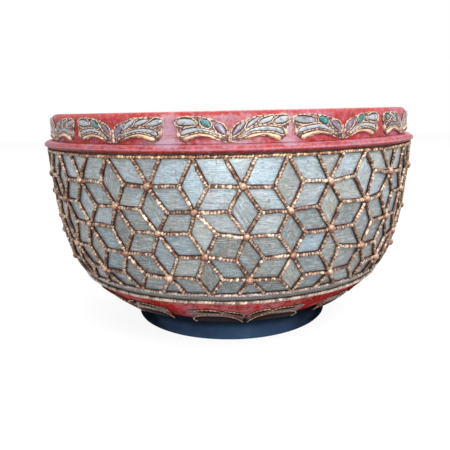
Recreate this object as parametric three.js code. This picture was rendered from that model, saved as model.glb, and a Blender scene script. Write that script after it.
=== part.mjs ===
// Lacquered bamboo offering bowl with a glass mosaic wall.
// Millimetres, +Z up, origin under the middle of the foot, photographed front towards -Y.
// The bowl is one turned outline with its layers at set depths under it: glass set in putty,
// a gilded cord net over the joints of the glass, the bamboo core and the lacquer lining.
import * as THREE from 'three';

// Outline of the bowl, measured over the cords
const WALL_TOP_RADIUS = 143;
const WALL_LOW_SHARE = 0.874;
const NECK_SHARE = 0.64;
const WALL_HEIGHT = 90.3;
const UNDERSIDE_HEIGHT = 29.7;
const NECK_HEIGHT = 20.3;
const BASE_HEIGHT = 11;
const WALL_HANDLE_SHARES = [[0.11, 0.336], [0.3, 0.8]];
const UNDERSIDE_HANDLE_SHARES = [[0.14, 0.35], [0.44, 0.66]];
const FLOOR_HANDLE_SHARES = [[0.4, 0.416], [0.75, 1]];

// Layers of the wall, outside to inside
const FIT_GAP = 0.3;
const TILE_DEPTH = 1.4;
const MOSAIC_THICKNESS = 2.2;
const BAND_DEPTH = 1;
const BAMBOO_THICKNESS = 5;
const LINING_THICKNESS = 2;
const BASE_COAT_THICKNESS = 1.4;
const INNER_STRAIGHT_SHARE = 1 / 3;

// Rim band and ridge moulding
const RIM_SETBACK = 4.3;
const RIM_HEIGHT = 18.7;
const RIM_ROUND = 4.5;
const RIM_INNER_ROUND = 2;
const RIM_COAT_THICKNESS = 2.4;
const RIM_LIP_THICKNESS = 6.2;
const RIM_LIP_OVERHANG = 0.8;
const RIDGE_HEIGHT = 4.9;
const RIDGE_OVERHANG = 2;
const RIDGE_UNDERCUT = 3;
const RIDGE_CREST_SHARE = 0.42;

// Rhomb pattern: rhombs meet in stars of six, with a stud on every star inside the borders
const STAR_COUNT = 16;
const ROWS = 6;
const ROW_DROP_SHARE = 0.09;
const CORD_WIDTH = 2.3;
const CORD_RISE = 2;
const NET_GAP = 0.45;
const STUD_RADIUS = 2.3;
const STUD_RISE = 3.8;
const PATTERN_TURN = THREE.MathUtils.degToRad(4.15);
const ROW_DRIFT = THREE.MathUtils.degToRad(0.58);
const HEM = 1.7;

// Lower border
const STRIP_WIDTH = 3.8;
const PALE_CORD_WIDTH = 2.6;
const PALE_CORD_PROUD = 0.6;

// Foot
const FOOT_INSET = 12;
const FOOT_THICKNESS = 6;
const FOOT_EDGE = 1;
const FOOT_COVE_SHARES = [[0.1, 0.42], [0.32, 0.76]];

// Leaf reliefs
const RIM_LEAF_PAIRS = 12;
const RIM_LEAF_SHARE = 0.44;
const RIM_LEAF_WIDTH = 14.6;
const RIM_LEAF_MARGIN = 0.8;
const RIM_LEAF_RISE = 2.1;
const RIM_LEAF_PARTING = 1.6;
const BASE_LEAF_PAIRS = 7;
const BASE_LEAF_SHARE = 0.385;
const BASE_LEAF_WIDTH = 25;
const BASE_LEAF_MARGIN = 1.4;
const BASE_LEAF_RISE = 2.2;
const BASE_LEAF_PARTING = 3;
const BASE_LEAF_GAP = 0.6;
const BASE_LEAF_TURN = THREE.MathUtils.degToRad(6.5);
// Stations along a leaf from the middle of its pair: place, lower edge and upper edge
const LEAF_STATION_SHARES = [
  [0, 0.04, 0.04], [0.12, 0.02, 0.5], [0.32, 0.16, 0.82],
  [0.54, 0.2, 1], [0.66, 0.14, 0.86], [0.86, 0.02, 1], [1, 0.5, 0.5],
];
// Section across a leaf: place between its edges, and rise
const LEAF_SECTION_SHARES = [[0, 0], [0.13, 1], [0.5, 0.45], [0.87, 1], [1, 0]];

// Facets
const TURNED_SIDES = 40;
const CORE_SIDES = 2 * STAR_COUNT;
const STAR_COLUMN_COUNT = 6;
const COLUMNS = STAR_COLUMN_COUNT * STAR_COUNT;
const SHELL_WALL_STEPS = ROWS / 2;

const FINISHES = {
  cinnabar: { color: 0xa8322c, roughness: 0.42, metalness: 0 },
  blackLacquer: { color: 0x14161c, roughness: 0.3, metalness: 0 },
  glass: { color: 0x93a5a3, roughness: 0.22, metalness: 0.5 },
  gilt: { color: 0xb58a4e, roughness: 0.45, metalness: 0.6 },
  paleGilt: { color: 0xc9c0a0, roughness: 0.5, metalness: 0.4 },
  darkLeaf: { color: 0x4a2a20, roughness: 0.45, metalness: 0.3 },
  bamboo: { color: 0xb08d57, roughness: 0.75, metalness: 0 },
};

// Levels, radii and depths that follow from the sizes above
const WALL_LOW_RADIUS = WALL_LOW_SHARE * WALL_TOP_RADIUS;
const NECK_RADIUS = NECK_SHARE * WALL_TOP_RADIUS;
const FOOT_RADIUS = NECK_RADIUS - FOOT_INSET;
const WALL_LOW = NECK_HEIGHT + UNDERSIDE_HEIGHT;
const WALL_TOP = WALL_LOW + WALL_HEIGHT;
const RIDGE_LOW = WALL_TOP + HEM + FIT_GAP;
const RIDGE_TOP = RIDGE_LOW + RIDGE_HEIGHT;
const RIM_LOW = RIDGE_TOP + FIT_GAP;
const RIM_TOP = RIM_LOW + RIM_HEIGHT;
const TURNED_SAG = sag(WALL_TOP_RADIUS, Math.PI / TURNED_SIDES);
const CORE_SAG = sag(WALL_TOP_RADIUS, Math.PI / CORE_SIDES);
const MOSAIC_SAG = sag(WALL_TOP_RADIUS, turnBetween(COLUMNS) + ROW_DRIFT);
const PUTTY_DEPTH = TILE_DEPTH + MOSAIC_THICKNESS;
const CORE_DEPTH = PUTTY_DEPTH + FIT_GAP + Math.max(MOSAIC_SAG, TURNED_SAG);
const CORE_INNER_DEPTH = CORE_DEPTH + BAMBOO_THICKNESS;
const LINING_DEPTH = CORE_INNER_DEPTH + FIT_GAP + CORE_SAG;
const BOWL_DEPTH = LINING_DEPTH + LINING_THICKNESS;
const RIM_RADIUS = WALL_TOP_RADIUS - RIM_SETBACK;
const RIM_SEAT_RADIUS = RIM_RADIUS - RIM_COAT_THICKNESS;
const CORE_RIM_RADIUS = RIM_SEAT_RADIUS - FIT_GAP - TURNED_SAG;
const CORE_RIM_INNER_RADIUS = CORE_RIM_RADIUS - BAMBOO_THICKNESS;
const LINING_RIM_RADIUS = CORE_RIM_INNER_RADIUS - FIT_GAP - CORE_SAG;
const BOWL_MOUTH_RADIUS = LINING_RIM_RADIUS - LINING_THICKNESS;
const LIP_LOW = RIM_TOP - RIM_LIP_THICKNESS;
const CORE_TOP = LIP_LOW - FIT_GAP;
const FOOT_INNER_RADIUS = FOOT_RADIUS - FOOT_THICKNESS;

const wallCurve = outlineCurve(
  new THREE.Vector2(WALL_TOP_RADIUS, WALL_TOP),
  new THREE.Vector2(WALL_LOW_RADIUS, WALL_LOW),
  WALL_HANDLE_SHARES,
);
const undersideCurve = outlineCurve(
  new THREE.Vector2(WALL_LOW_RADIUS, WALL_LOW),
  new THREE.Vector2(NECK_RADIUS, NECK_HEIGHT),
  UNDERSIDE_HANDLE_SHARES,
);
const floorCurve = outlineCurve(
  new THREE.Vector2(NECK_RADIUS, NECK_HEIGHT),
  new THREE.Vector2(FOOT_INNER_RADIUS, BASE_HEIGHT),
  FLOOR_HANDLE_SHARES,
);
const UNDERSIDE_LENGTH = undersideCurve.getLength();

// Angle from each of a number of equal parts of the turn to the next
function turnBetween(count) {
  return (2 * Math.PI) / count;
}

// How far the middle of a flat lies inside the circle through its corners
function sag(radius, halfAngle) {
  return radius * (1 - Math.cos(halfAngle));
}

// Point at an angle from the front, turning towards +X
function polar(angle, radius, height) {
  return new THREE.Vector3(radius * Math.sin(angle), -radius * Math.cos(angle), height);
}

// Curve from a point of the outline down to the next, with its handles as shares of the step
function outlineCurve(start, end, handleShares) {
  const [first, second] = handleShares.map(([across, down]) => new THREE.Vector2(
    THREE.MathUtils.lerp(start.x, end.x, across),
    THREE.MathUtils.lerp(start.y, end.y, down),
  ));
  return new THREE.CubicBezierCurve(start, first, second, end);
}

// Point at a depth under a curve of the outline; a negative depth stands proud of it
function under(curve, share, depth) {
  const point = curve.getPointAt(share);
  const tangent = curve.getTangentAt(share);
  return new THREE.Vector2(point.x + tangent.y * depth, point.y - tangent.x * depth);
}

// Points at one depth under a curve, from one share of its length to another
function underRun(curve, depth, from, to, steps) {
  return Array.from({ length: steps + 1 }, (_, i) => (
    under(curve, THREE.MathUtils.lerp(from, to, i / steps), depth)
  ));
}

function pointsOf(...pairs) {
  return pairs.map(([radius, height]) => new THREE.Vector2(radius, height));
}

// Quarter of an ellipse about a centre, from one angle to the next
function quarter(centre, across, up, fromAngle, steps) {
  return Array.from({ length: steps + 1 }, (_, i) => {
    const angle = fromAngle + (Math.PI / 2) * (i / steps);
    return new THREE.Vector2(centre[0] + across * Math.cos(angle), centre[1] + up * Math.sin(angle));
  });
}

// Turned solid about the upright axis; its section runs anticlockwise, outside upwards
function turned(section, sides = TURNED_SIDES) {
  return new THREE.LatheGeometry(section, sides).rotateX(Math.PI / 2);
}

function turnedRing(section, sides = TURNED_SIDES) {
  return turned([...section, section[0]], sides);
}

// Solid from its faces, each a list of corner points, anticlockwise from outside
function facetedSolid(faces) {
  const corners = faces.flatMap((face) => (
    face.slice(2).flatMap((_, i) => [face[0], face[i + 1], face[i + 2]])
  ));
  const geometry = new THREE.BufferGeometry().setFromPoints(corners);
  geometry.computeVertexNormals();
  return geometry;
}

function addPiece(group, name, geometry, finish) {
  const mesh = new THREE.Mesh(geometry, new THREE.MeshStandardMaterial(FINISHES[finish]));
  mesh.name = name;
  group.add(mesh);
}

// Points at one depth from the foot's inside up the bowl to a share of the wall's length
function shellRun(depth, wallShare, wallFineness = 1) {
  const wallSteps = Math.round((1 - wallShare) * SHELL_WALL_STEPS) * wallFineness;
  return [
    ...underRun(floorCurve, depth, 1, 0, 2),
    ...underRun(undersideCurve, depth, 1, 0, 2).slice(1),
    ...underRun(wallCurve, depth, 1, wallShare, wallSteps).slice(1),
  ];
}

// Coiled core of the wall: it follows the mosaic outside and rises straight into the rim
function bambooWall() {
  return turnedRing([
    ...shellRun(CORE_DEPTH, 0),
    ...pointsOf([CORE_RIM_RADIUS, RIDGE_LOW], [CORE_RIM_RADIUS, CORE_TOP]),
    ...pointsOf([CORE_RIM_INNER_RADIUS, CORE_TOP]),
    ...shellRun(CORE_INNER_DEPTH, INNER_STRAIGHT_SHARE).reverse(),
  ], CORE_SIDES);
}

// Flat disc on the axis
function disc(radius, low, high, sides) {
  return turned(pointsOf([0, low], [radius, low], [radius, high], [0, high]), sides);
}

function bambooBase() {
  const low = BASE_HEIGHT + CORE_DEPTH;
  return disc(FOOT_INNER_RADIUS - FIT_GAP, low, low + BAMBOO_THICKNESS, CORE_SIDES);
}

function baseCoat() {
  const high = BASE_HEIGHT + PUTTY_DEPTH;
  return disc(FOOT_INNER_RADIUS - FIT_GAP, high - BASE_COAT_THICKNESS, high, TURNED_SIDES);
}

function lacquerLining() {
  return turned([
    ...pointsOf([0, BASE_HEIGHT + LINING_DEPTH]),
    ...shellRun(LINING_DEPTH, INNER_STRAIGHT_SHARE),
    ...pointsOf([LINING_RIM_RADIUS, CORE_TOP], [BOWL_MOUTH_RADIUS, CORE_TOP]),
    ...shellRun(BOWL_DEPTH, INNER_STRAIGHT_SHARE, 2).reverse(),
    ...pointsOf([0, BASE_HEIGHT + BOWL_DEPTH]),
  ]);
}

// Red band over the top of the core, rounded outside and over the lip
function rimBand() {
  const inside = BOWL_MOUTH_RADIUS - RIM_LIP_OVERHANG;
  const outerCentre = [RIM_RADIUS - RIM_ROUND, RIM_TOP - RIM_ROUND];
  const innerCentre = [inside + RIM_INNER_ROUND, RIM_TOP - RIM_INNER_ROUND];
  return turnedRing([
    ...pointsOf([RIM_RADIUS, RIM_LOW]),
    ...quarter(outerCentre, RIM_ROUND, RIM_ROUND, 0, 3),
    ...quarter(innerCentre, RIM_INNER_ROUND, RIM_INNER_ROUND, Math.PI / 2, 1),
    ...pointsOf([inside, LIP_LOW], [RIM_SEAT_RADIUS, LIP_LOW], [RIM_SEAT_RADIUS, RIM_LOW]),
  ]);
}

// Half-round moulding at the widest part, undercut below its crest
function ridgeMoulding() {
  const crest = WALL_TOP_RADIUS + RIDGE_OVERHANG;
  const seat = CORE_RIM_RADIUS + FIT_GAP + TURNED_SAG;
  const crestHeight = RIDGE_LOW + RIDGE_HEIGHT * RIDGE_CREST_SHARE;
  const upperCentre = [RIM_RADIUS, crestHeight];
  const lowerCentre = [crest - RIDGE_UNDERCUT, crestHeight];
  return turnedRing([
    ...pointsOf([seat, RIDGE_LOW]),
    ...quarter(lowerCentre, RIDGE_UNDERCUT, crestHeight - RIDGE_LOW, -Math.PI / 2, 2),
    ...quarter(upperCentre, crest - RIM_RADIUS, RIDGE_TOP - crestHeight, 0, 2).slice(1),
    ...pointsOf([seat, RIDGE_TOP]),
  ]);
}

// Share of the underside at a distance below the lower border cord
function undersideShare(distance) {
  return distance / UNDERSIDE_LENGTH;
}

function glassStrip() {
  const from = undersideShare(HEM + FIT_GAP);
  const to = undersideShare(HEM + FIT_GAP + STRIP_WIDTH);
  return turnedRing([
    ...underRun(undersideCurve, TILE_DEPTH, to, from, 1),
    ...underRun(undersideCurve, PUTTY_DEPTH, from, to, 1),
  ]);
}

function paleCord() {
  const top = HEM + FIT_GAP + STRIP_WIDTH + FIT_GAP;
  const levels = [top, top + PALE_CORD_WIDTH / 2, top + PALE_CORD_WIDTH];
  const [from, middle, to] = levels.map(undersideShare);
  return turnedRing([
    under(undersideCurve, to, TILE_DEPTH),
    under(undersideCurve, middle, -PALE_CORD_PROUD),
    under(undersideCurve, from, TILE_DEPTH),
    ...underRun(undersideCurve, PUTTY_DEPTH, from, to, 1),
  ]);
}

function lowerBand() {
  const from = undersideShare(HEM + STRIP_WIDTH + PALE_CORD_WIDTH + 3 * FIT_GAP);
  const to = 1 - undersideShare(FIT_GAP);
  return turnedRing([
    ...underRun(undersideCurve, BAND_DEPTH, to, from, 2),
    ...underRun(undersideCurve, PUTTY_DEPTH, from, to, 2),
  ]);
}

// Foot with a cove that flares up to the lower band; its top follows the underside of the core
function footRing() {
  const neck = under(floorCurve, 0, BAND_DEPTH);
  const start = new THREE.Vector2(FOOT_RADIUS, FOOT_EDGE);
  const cove = outlineCurve(start, neck, FOOT_COVE_SHARES);
  return turnedRing([
    ...pointsOf([FOOT_INNER_RADIUS, 0], [FOOT_RADIUS - FOOT_EDGE, 0]),
    ...cove.getSpacedPoints(4),
    ...underRun(floorCurve, PUTTY_DEPTH, 0, 1, 2),
  ]);
}

// Angle of a column of the pattern in a row, with the slow drift of hand-laid rows
function columnAngle(row, column) {
  return PATTERN_TURN + ROW_DRIFT * (row - ROWS / 2) + turnBetween(COLUMNS) * column;
}

// Share of the wall's length down to a row; rows inside the borders were laid a little low
function rowShare(row) {
  const isBorder = row % ROWS === 0;
  return (isBorder ? row : row + ROW_DROP_SHARE) / ROWS;
}

// Joint of the pattern at a depth under the outline, moved down the wall by a distance
function jointPoint(row, column, depth, down = 0) {
  const share = rowShare(row);
  const at = under(wallCurve, share, depth).addScaledVector(wallCurve.getTangentAt(share), down);
  return polar(columnAngle(row, column), at.x, at.y);
}

// Outward direction of the wall at a joint
function jointNormal(row, column) {
  return jointPoint(row, column, 0).sub(jointPoint(row, column, 1)).normalize();
}

// Joints lie on every second column, odd columns in even rows
function rowColumns(row) {
  return Array.from({ length: COLUMNS / 2 }, (_, i) => 2 * i + ((row + 1) % 2));
}

function rowRing(row, depth, down = 0) {
  return rowColumns(row).map((column) => jointPoint(row, column, depth, down));
}

// Facets between an upper and a lower ring of joints; leads says that the lower ring is a step ahead
function bandBetween(upper, lower, leads = false) {
  return upper.flatMap((corner, i) => {
    const next = (i + 1) % upper.length;
    return leads
      ? [[corner, lower[i], upper[next]], [upper[next], lower[i], lower[next]]]
      : [[corner, lower[i], lower[next]], [corner, lower[next], upper[next]]];
  });
}

// Glass rhombs set edge to edge, each of two flat facets that meet on its short diagonal
function mosaicGround() {
  const rows = Array.from({ length: ROWS + 1 }, (_, row) => row);
  const outer = rows.map((row) => rowRing(row, TILE_DEPTH));
  const inner = rows.filter((row) => row % 2 === 0).map((row) => rowRing(row, PUTTY_DEPTH));
  const [outerTop, innerTop] = [TILE_DEPTH, PUTTY_DEPTH].map((depth) => rowRing(0, depth, -HEM));
  const [outerLow, innerLow] = [TILE_DEPTH, PUTTY_DEPTH].map((depth) => rowRing(ROWS, depth, HEM));
  const putty = [innerTop, ...inner, innerLow];
  return facetedSolid([
    ...bandBetween(innerTop, outerTop),
    ...bandBetween(outerTop, outer[0]),
    ...rows.slice(1).flatMap((row) => bandBetween(outer[row - 1], outer[row], row % 2 === 0)),
    ...bandBetween(outer[ROWS], outerLow),
    ...bandBetween(outerLow, innerLow),
    ...putty.slice(1).flatMap((ring, i) => bandBetween(putty[i], ring).map((face) => face.reverse())),
  ]);
}

// Stars lie on every third joint of a row: six cords meet there, and three at the others
function isStar([row, column]) {
  const shift = row % 2 === 0 ? STAR_COLUMN_COUNT / 2 : 0;
  return (column + shift) % STAR_COLUMN_COUNT === 0;
}

function hasStud(joint) {
  return joint[0] > 0 && joint[0] < ROWS && isStar(joint);
}

// Openings of the net as loops of joints, anticlockwise from outside.
// Each star's columns hold two leaning rhombs in every band and an upright rhomb on every row.
function netWindows() {
  const windows = [];
  for (let first = 0; first < COLUMNS; first += STAR_COLUMN_COUNT) {
    for (let row = 0; row < ROWS; row += 1) windows.push(...leaningWindows(row, first));
    for (let row = 0; row <= ROWS; row += 1) windows.push(uprightWindow(row, first));
  }
  return windows.map((loop) => loop.map(([row, column]) => [row, (column + COLUMNS) % COLUMNS]));
}

// A rhomb that leans one way and its mirror image beside it
function leaningWindows(row, first) {
  const upper = (row + 1) % 2;
  const lower = row % 2;
  const low = row + 1;
  const loop = [[row, upper], [low, lower], [low, lower + 2], [row, upper + 2]];
  return [
    loop.map(([at, column]) => [at, first + column]),
    loop.map(([at, column]) => [at, first + STAR_COLUMN_COUNT - column]).reverse(),
  ];
}

function uprightWindow(row, first) {
  const middle = row % 2 === 0 ? first : first + STAR_COLUMN_COUNT / 2;
  const loop = [[row - 1, middle], [row, middle - 1], [row + 1, middle], [row, middle + 1]];
  return loop.filter(([at]) => at >= 0 && at <= ROWS);
}

// Corner of a window, half a cord from both of its edges and just clear of the glass
function windowCorner(before, joint, after) {
  const corner = jointPoint(...joint, TILE_DEPTH);
  const toBefore = jointPoint(...before, TILE_DEPTH).sub(corner).normalize();
  const toAfter = jointPoint(...after, TILE_DEPTH).sub(corner).normalize();
  const reach = CORD_WIDTH / 2 / Math.sin(toBefore.angleTo(toAfter));
  const inset = toBefore.add(toAfter).multiplyScalar(reach);
  return corner.add(inset).addScaledVector(jointNormal(...joint), NET_GAP);
}

function crest(joint) {
  return jointPoint(...joint, TILE_DEPTH - CORD_RISE);
}

// Point on a cord's crest where it leaves a joint: at the foot of the stud where there is one
function crestEnd(joint, neighbour) {
  const centre = crest(joint);
  if (!hasStud(joint)) return centre;
  const way = crest(neighbour).sub(centre).normalize();
  return centre.addScaledVector(way, STUD_RADIUS);
}

// Quarter of a stud that stands in one corner of a window
function studFaces(before, joint, after, corner) {
  const top = jointPoint(...joint, TILE_DEPTH - STUD_RISE);
  return [[top, crestEnd(joint, after), corner], [top, corner, crestEnd(joint, before)]];
}

// One edge of a window: its joints, the corners beside them, and the face of the cord above
function windowEdge(from, to, start, end) {
  return { from, to, start, end, slope: [crestEnd(from, to), crestEnd(to, from), end, start] };
}

function windowEdges(loop) {
  const after = (i) => loop[(i + 1) % loop.length];
  const before = (i) => loop[(i + loop.length - 1) % loop.length];
  const corners = loop.map((joint, i) => windowCorner(before(i), joint, after(i)));
  const edges = loop.map((joint, i) => (
    windowEdge(joint, after(i), corners[i], corners[(i + 1) % loop.length])
  ));
  const studs = loop.flatMap((joint, i) => (
    hasStud(joint) ? studFaces(before(i), joint, after(i), corners[i]) : []
  ));
  return { edges, studs };
}

// Outer side of a border cord, taken as the edges of one more window round the bowl
function borderEdges(row) {
  const away = row === 0 ? -1 : 1;
  const columns = rowColumns(row);
  const corner = (joint) => jointPoint(...joint, TILE_DEPTH - NET_GAP, away * CORD_WIDTH / 2);
  return columns.map((column, i) => {
    const pair = [[row, column], [row, columns[(i + 1) % columns.length]]];
    const [from, to] = row === 0 ? pair : pair.reverse();
    return windowEdge(from, to, corner(from), corner(to));
  });
}

// Patch under a joint: the window corners round it, clockwise from outside
function jointPatch(joint, corners) {
  const centre = jointPoint(...joint, TILE_DEPTH);
  const east = polar(columnAngle(...joint) + Math.PI / 2, 1, 0);
  const north = jointNormal(...joint).cross(east);
  const bearing = (corner) => {
    const offset = corner.clone().sub(centre);
    return Math.atan2(offset.dot(north), offset.dot(east));
  };
  return [...corners].sort((a, b) => bearing(b) - bearing(a));
}

// Cords over every joint of the glass: sloping sides to a crest, flat strips and patches beneath
function cordNet() {
  const windows = netWindows().map(windowEdges);
  const edges = [...windows.flatMap((window) => window.edges), ...borderEdges(0), ...borderEdges(ROWS)];
  const byEnds = new Map(edges.map((edge) => [`${edge.from}>${edge.to}`, edge]));
  const cornersAt = new Map();
  const faces = windows.flatMap((window) => window.studs);
  for (const edge of edges) {
    const facing = byEnds.get(`${edge.to}>${edge.from}`);
    const key = `${edge.from}`;
    cornersAt.set(key, [...(cornersAt.get(key) ?? []), edge.start]);
    faces.push(edge.slope);
    if (key < `${edge.to}`) faces.push([edge.start, edge.end, facing.start, facing.end]);
  }
  for (const [key, corners] of cornersAt) {
    faces.push(jointPatch(key.split(',').map(Number), corners));
  }
  return facetedSolid(faces);
}

// Points across one station of a leaf; a station without width is a tip, one point
function leafStation(place, [along, low, high]) {
  if (low === high) return Array(LEAF_SECTION_SHARES.length).fill(place(along, low, 0));
  return LEAF_SECTION_SHARES.map(([across, rise]) => (
    place(along, THREE.MathUtils.lerp(low, high, across), rise)
  ));
}

// Leaf relief: a raised edge round a sunk middle, laid on a band by the place function,
// which takes a share along the leaf, a share across it and a share of its rise
function leafRelief(place, mirrored) {
  const stations = LEAF_STATION_SHARES.map((station) => leafStation(place, station));
  const faces = stations.slice(1).flatMap((front, i) => {
    const back = stations[i];
    return front.map((corner, j) => {
      const next = (j + 1) % front.length;
      return [back[j], corner, front[next], back[next]];
    });
  });
  const whole = faces.map(withoutRepeats).filter((face) => face.length > 2);
  return facetedSolid(mirrored ? whole.map((face) => face.reverse()) : whole);
}

// Corners of a face with those that fall together taken once, as at the tips of a leaf
function withoutRepeats(face) {
  return face.filter((corner, i) => corner !== face[(i + 1) % face.length]);
}

// Angle of a place along a leaf, from the middle of its pair to either side
function leafAngle(along, side, middle, parting, reach) {
  return middle + side * (parting / 2 + along * reach);
}

function rimLeaf(middle, side) {
  const parting = RIM_LEAF_PARTING / RIM_RADIUS;
  const reach = RIM_LEAF_SHARE * turnBetween(RIM_LEAF_PAIRS);
  const place = (along, across, rise) => polar(
    leafAngle(along, side, middle, parting, reach),
    RIM_RADIUS + FIT_GAP + rise * RIM_LEAF_RISE,
    RIM_LOW + RIM_LEAF_MARGIN + across * RIM_LEAF_WIDTH,
  );
  return leafRelief(place, side < 0);
}

function baseLeaf(middle, side) {
  const seat = under(undersideCurve, 1 - undersideShare(BASE_LEAF_WIDTH / 2), BAND_DEPTH);
  const parting = BASE_LEAF_PARTING / seat.x;
  const reach = BASE_LEAF_SHARE * turnBetween(BASE_LEAF_PAIRS);
  const place = (along, across, rise) => {
    const share = 1 - undersideShare(BASE_LEAF_MARGIN + across * BASE_LEAF_WIDTH);
    const at = under(undersideCurve, share, BAND_DEPTH - BASE_LEAF_GAP - rise * BASE_LEAF_RISE);
    return polar(leafAngle(along, side, middle, parting, reach), at.x, at.y);
  };
  return leafRelief(place, side < 0);
}

// Leaves in mirrored pairs round the bowl, numbered in turn
function addLeaves(group, name, pairs, turn, make, finish) {
  for (let leaf = 0; leaf < 2 * pairs; leaf += 1) {
    const middle = turn + turnBetween(pairs) * Math.floor(leaf / 2);
    const side = leaf % 2 === 0 ? -1 : 1;
    addPiece(group, `${name}_${String(leaf + 1).padStart(2, '0')}`, make(middle, side), finish);
  }
}

function lacqueredBowl() {
  const group = new THREE.Group();
  addPiece(group, 'bamboo_wall', bambooWall(), 'bamboo');
  addPiece(group, 'bamboo_base', bambooBase(), 'bamboo');
  addPiece(group, 'lacquer_lining', lacquerLining(), 'cinnabar');
  addPiece(group, 'rim_band', rimBand(), 'cinnabar');
  addPiece(group, 'ridge_moulding', ridgeMoulding(), 'cinnabar');
  addPiece(group, 'mosaic_ground', mosaicGround(), 'glass');
  addPiece(group, 'cord_net', cordNet(), 'gilt');
  addPiece(group, 'glass_strip', glassStrip(), 'glass');
  addPiece(group, 'pale_cord', paleCord(), 'paleGilt');
  addPiece(group, 'lower_band', lowerBand(), 'cinnabar');
  addPiece(group, 'foot_ring', footRing(), 'blackLacquer');
  addPiece(group, 'base_coat', baseCoat(), 'blackLacquer');
  addLeaves(group, 'rim_leaf', RIM_LEAF_PAIRS, 0, rimLeaf, 'gilt');
  addLeaves(group, 'base_leaf', BASE_LEAF_PAIRS, BASE_LEAF_TURN, baseLeaf, 'darkLeaf');
  return group;
}

export default lacqueredBowl();
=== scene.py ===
"""Looks of the lacquered bamboo bowl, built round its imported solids.

Sizes are worked in millimetres and become metres when a mesh is made. Angles run from the
photographed front (-Y) towards +X.
"""
import math
from itertools import product

import bmesh
import bpy
import numpy as np
from mathutils import Matrix, Vector


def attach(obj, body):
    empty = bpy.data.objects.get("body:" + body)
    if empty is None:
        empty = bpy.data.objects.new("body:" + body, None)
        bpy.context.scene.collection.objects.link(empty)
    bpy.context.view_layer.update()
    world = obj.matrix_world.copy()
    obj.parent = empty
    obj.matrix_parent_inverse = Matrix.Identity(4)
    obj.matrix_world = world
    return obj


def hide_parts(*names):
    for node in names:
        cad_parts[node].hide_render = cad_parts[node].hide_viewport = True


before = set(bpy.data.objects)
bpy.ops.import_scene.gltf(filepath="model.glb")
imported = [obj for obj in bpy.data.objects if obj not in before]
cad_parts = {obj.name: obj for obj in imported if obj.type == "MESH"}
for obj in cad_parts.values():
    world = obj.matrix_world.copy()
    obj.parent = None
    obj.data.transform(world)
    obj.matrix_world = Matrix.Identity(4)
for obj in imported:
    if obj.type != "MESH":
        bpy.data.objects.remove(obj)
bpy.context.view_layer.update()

MM = 0.001
TURN = 2 * math.pi

# Outline of the bowl, as in the CAD source
WALL_TOP = (143.0, 140.3)
WALL_LOW = (124.98, 50.0)
NECK = (91.52, 20.3)
FLOOR_EDGE = (73.52, 11.0)
WALL_HANDLES = ((0.11, 0.336), (0.3, 0.8))
BELLY_HANDLES = ((0.14, 0.35), (0.44, 0.66))
FLOOR_HANDLES = ((0.4, 0.416), (0.75, 1))
COVE_HANDLES = ((0.1, 0.42), (0.32, 0.76))

# Layers of the wall, as depths under the outline
GLASS_DEPTH = 1.4
BED_DEPTH = 2.5
GROUND_DEPTH = 3.6
BAND_DEPTH = 1.0
BOWL_DEPTH = 12.33
LINING_THICKNESS = 2.0
HEM = 1.7
FIT_GAP = 0.3

# Rim and ridge
RIM_RADIUS = 138.7
RIM_LOW = 147.5
RIM_TOP = 166.2
RIM_ROUND = 4.5
RIM_SEAT = 136.3
MOUTH_RADIUS = 127.57
LIP_RADIUS = 126.77
LIP_LOW = 160.0
LIP_ROUND = 2.0
RIDGE_LOW = 142.3
RIDGE_TOP = 147.4
RIDGE_CREST = (145.0, 144.36)
RIDGE_UNDERCUT = 3.0
# Distances along the ridge's profile where a pale line is painted on as a highlight
RIDGE_HIGHLIGHT_LINES = (9.9, 13.6)

# Pattern of rhombs: six cords meet at a star, three at any other joint
STAR_COLUMNS = 6
COLUMNS = 96
ROWS = 6
ROW_DROP = 0.09
PATTERN_TURN = math.radians(4.15)
ROW_DRIFT = math.radians(0.58)
JOINT_JITTER = 0.35
CORD_RADIUS = 1.26
CORD_LIFT = 0.85
STUD_RADIUS = 2.75
STUD_LIFT = 1.3
TILE_INSET = 1.25
TILE_FOLLOW = 0.5
TILE_STEPS = 6
TILE_TILT = 0.12
TILE_BOW = 0.16
TILE_ROUNDING = 0.1
TILE_SINK = 0.3
RHOMB_EDGE = 20
FLAT_CORDS_SHARE = 0.3
# Directions of the streaks in the glass: across the wall or along an edge of the rhomb
STREAK_WAYS = ((1, 0), (1, 0), (0.5, 0.87), (0.5, -0.87))
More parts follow.
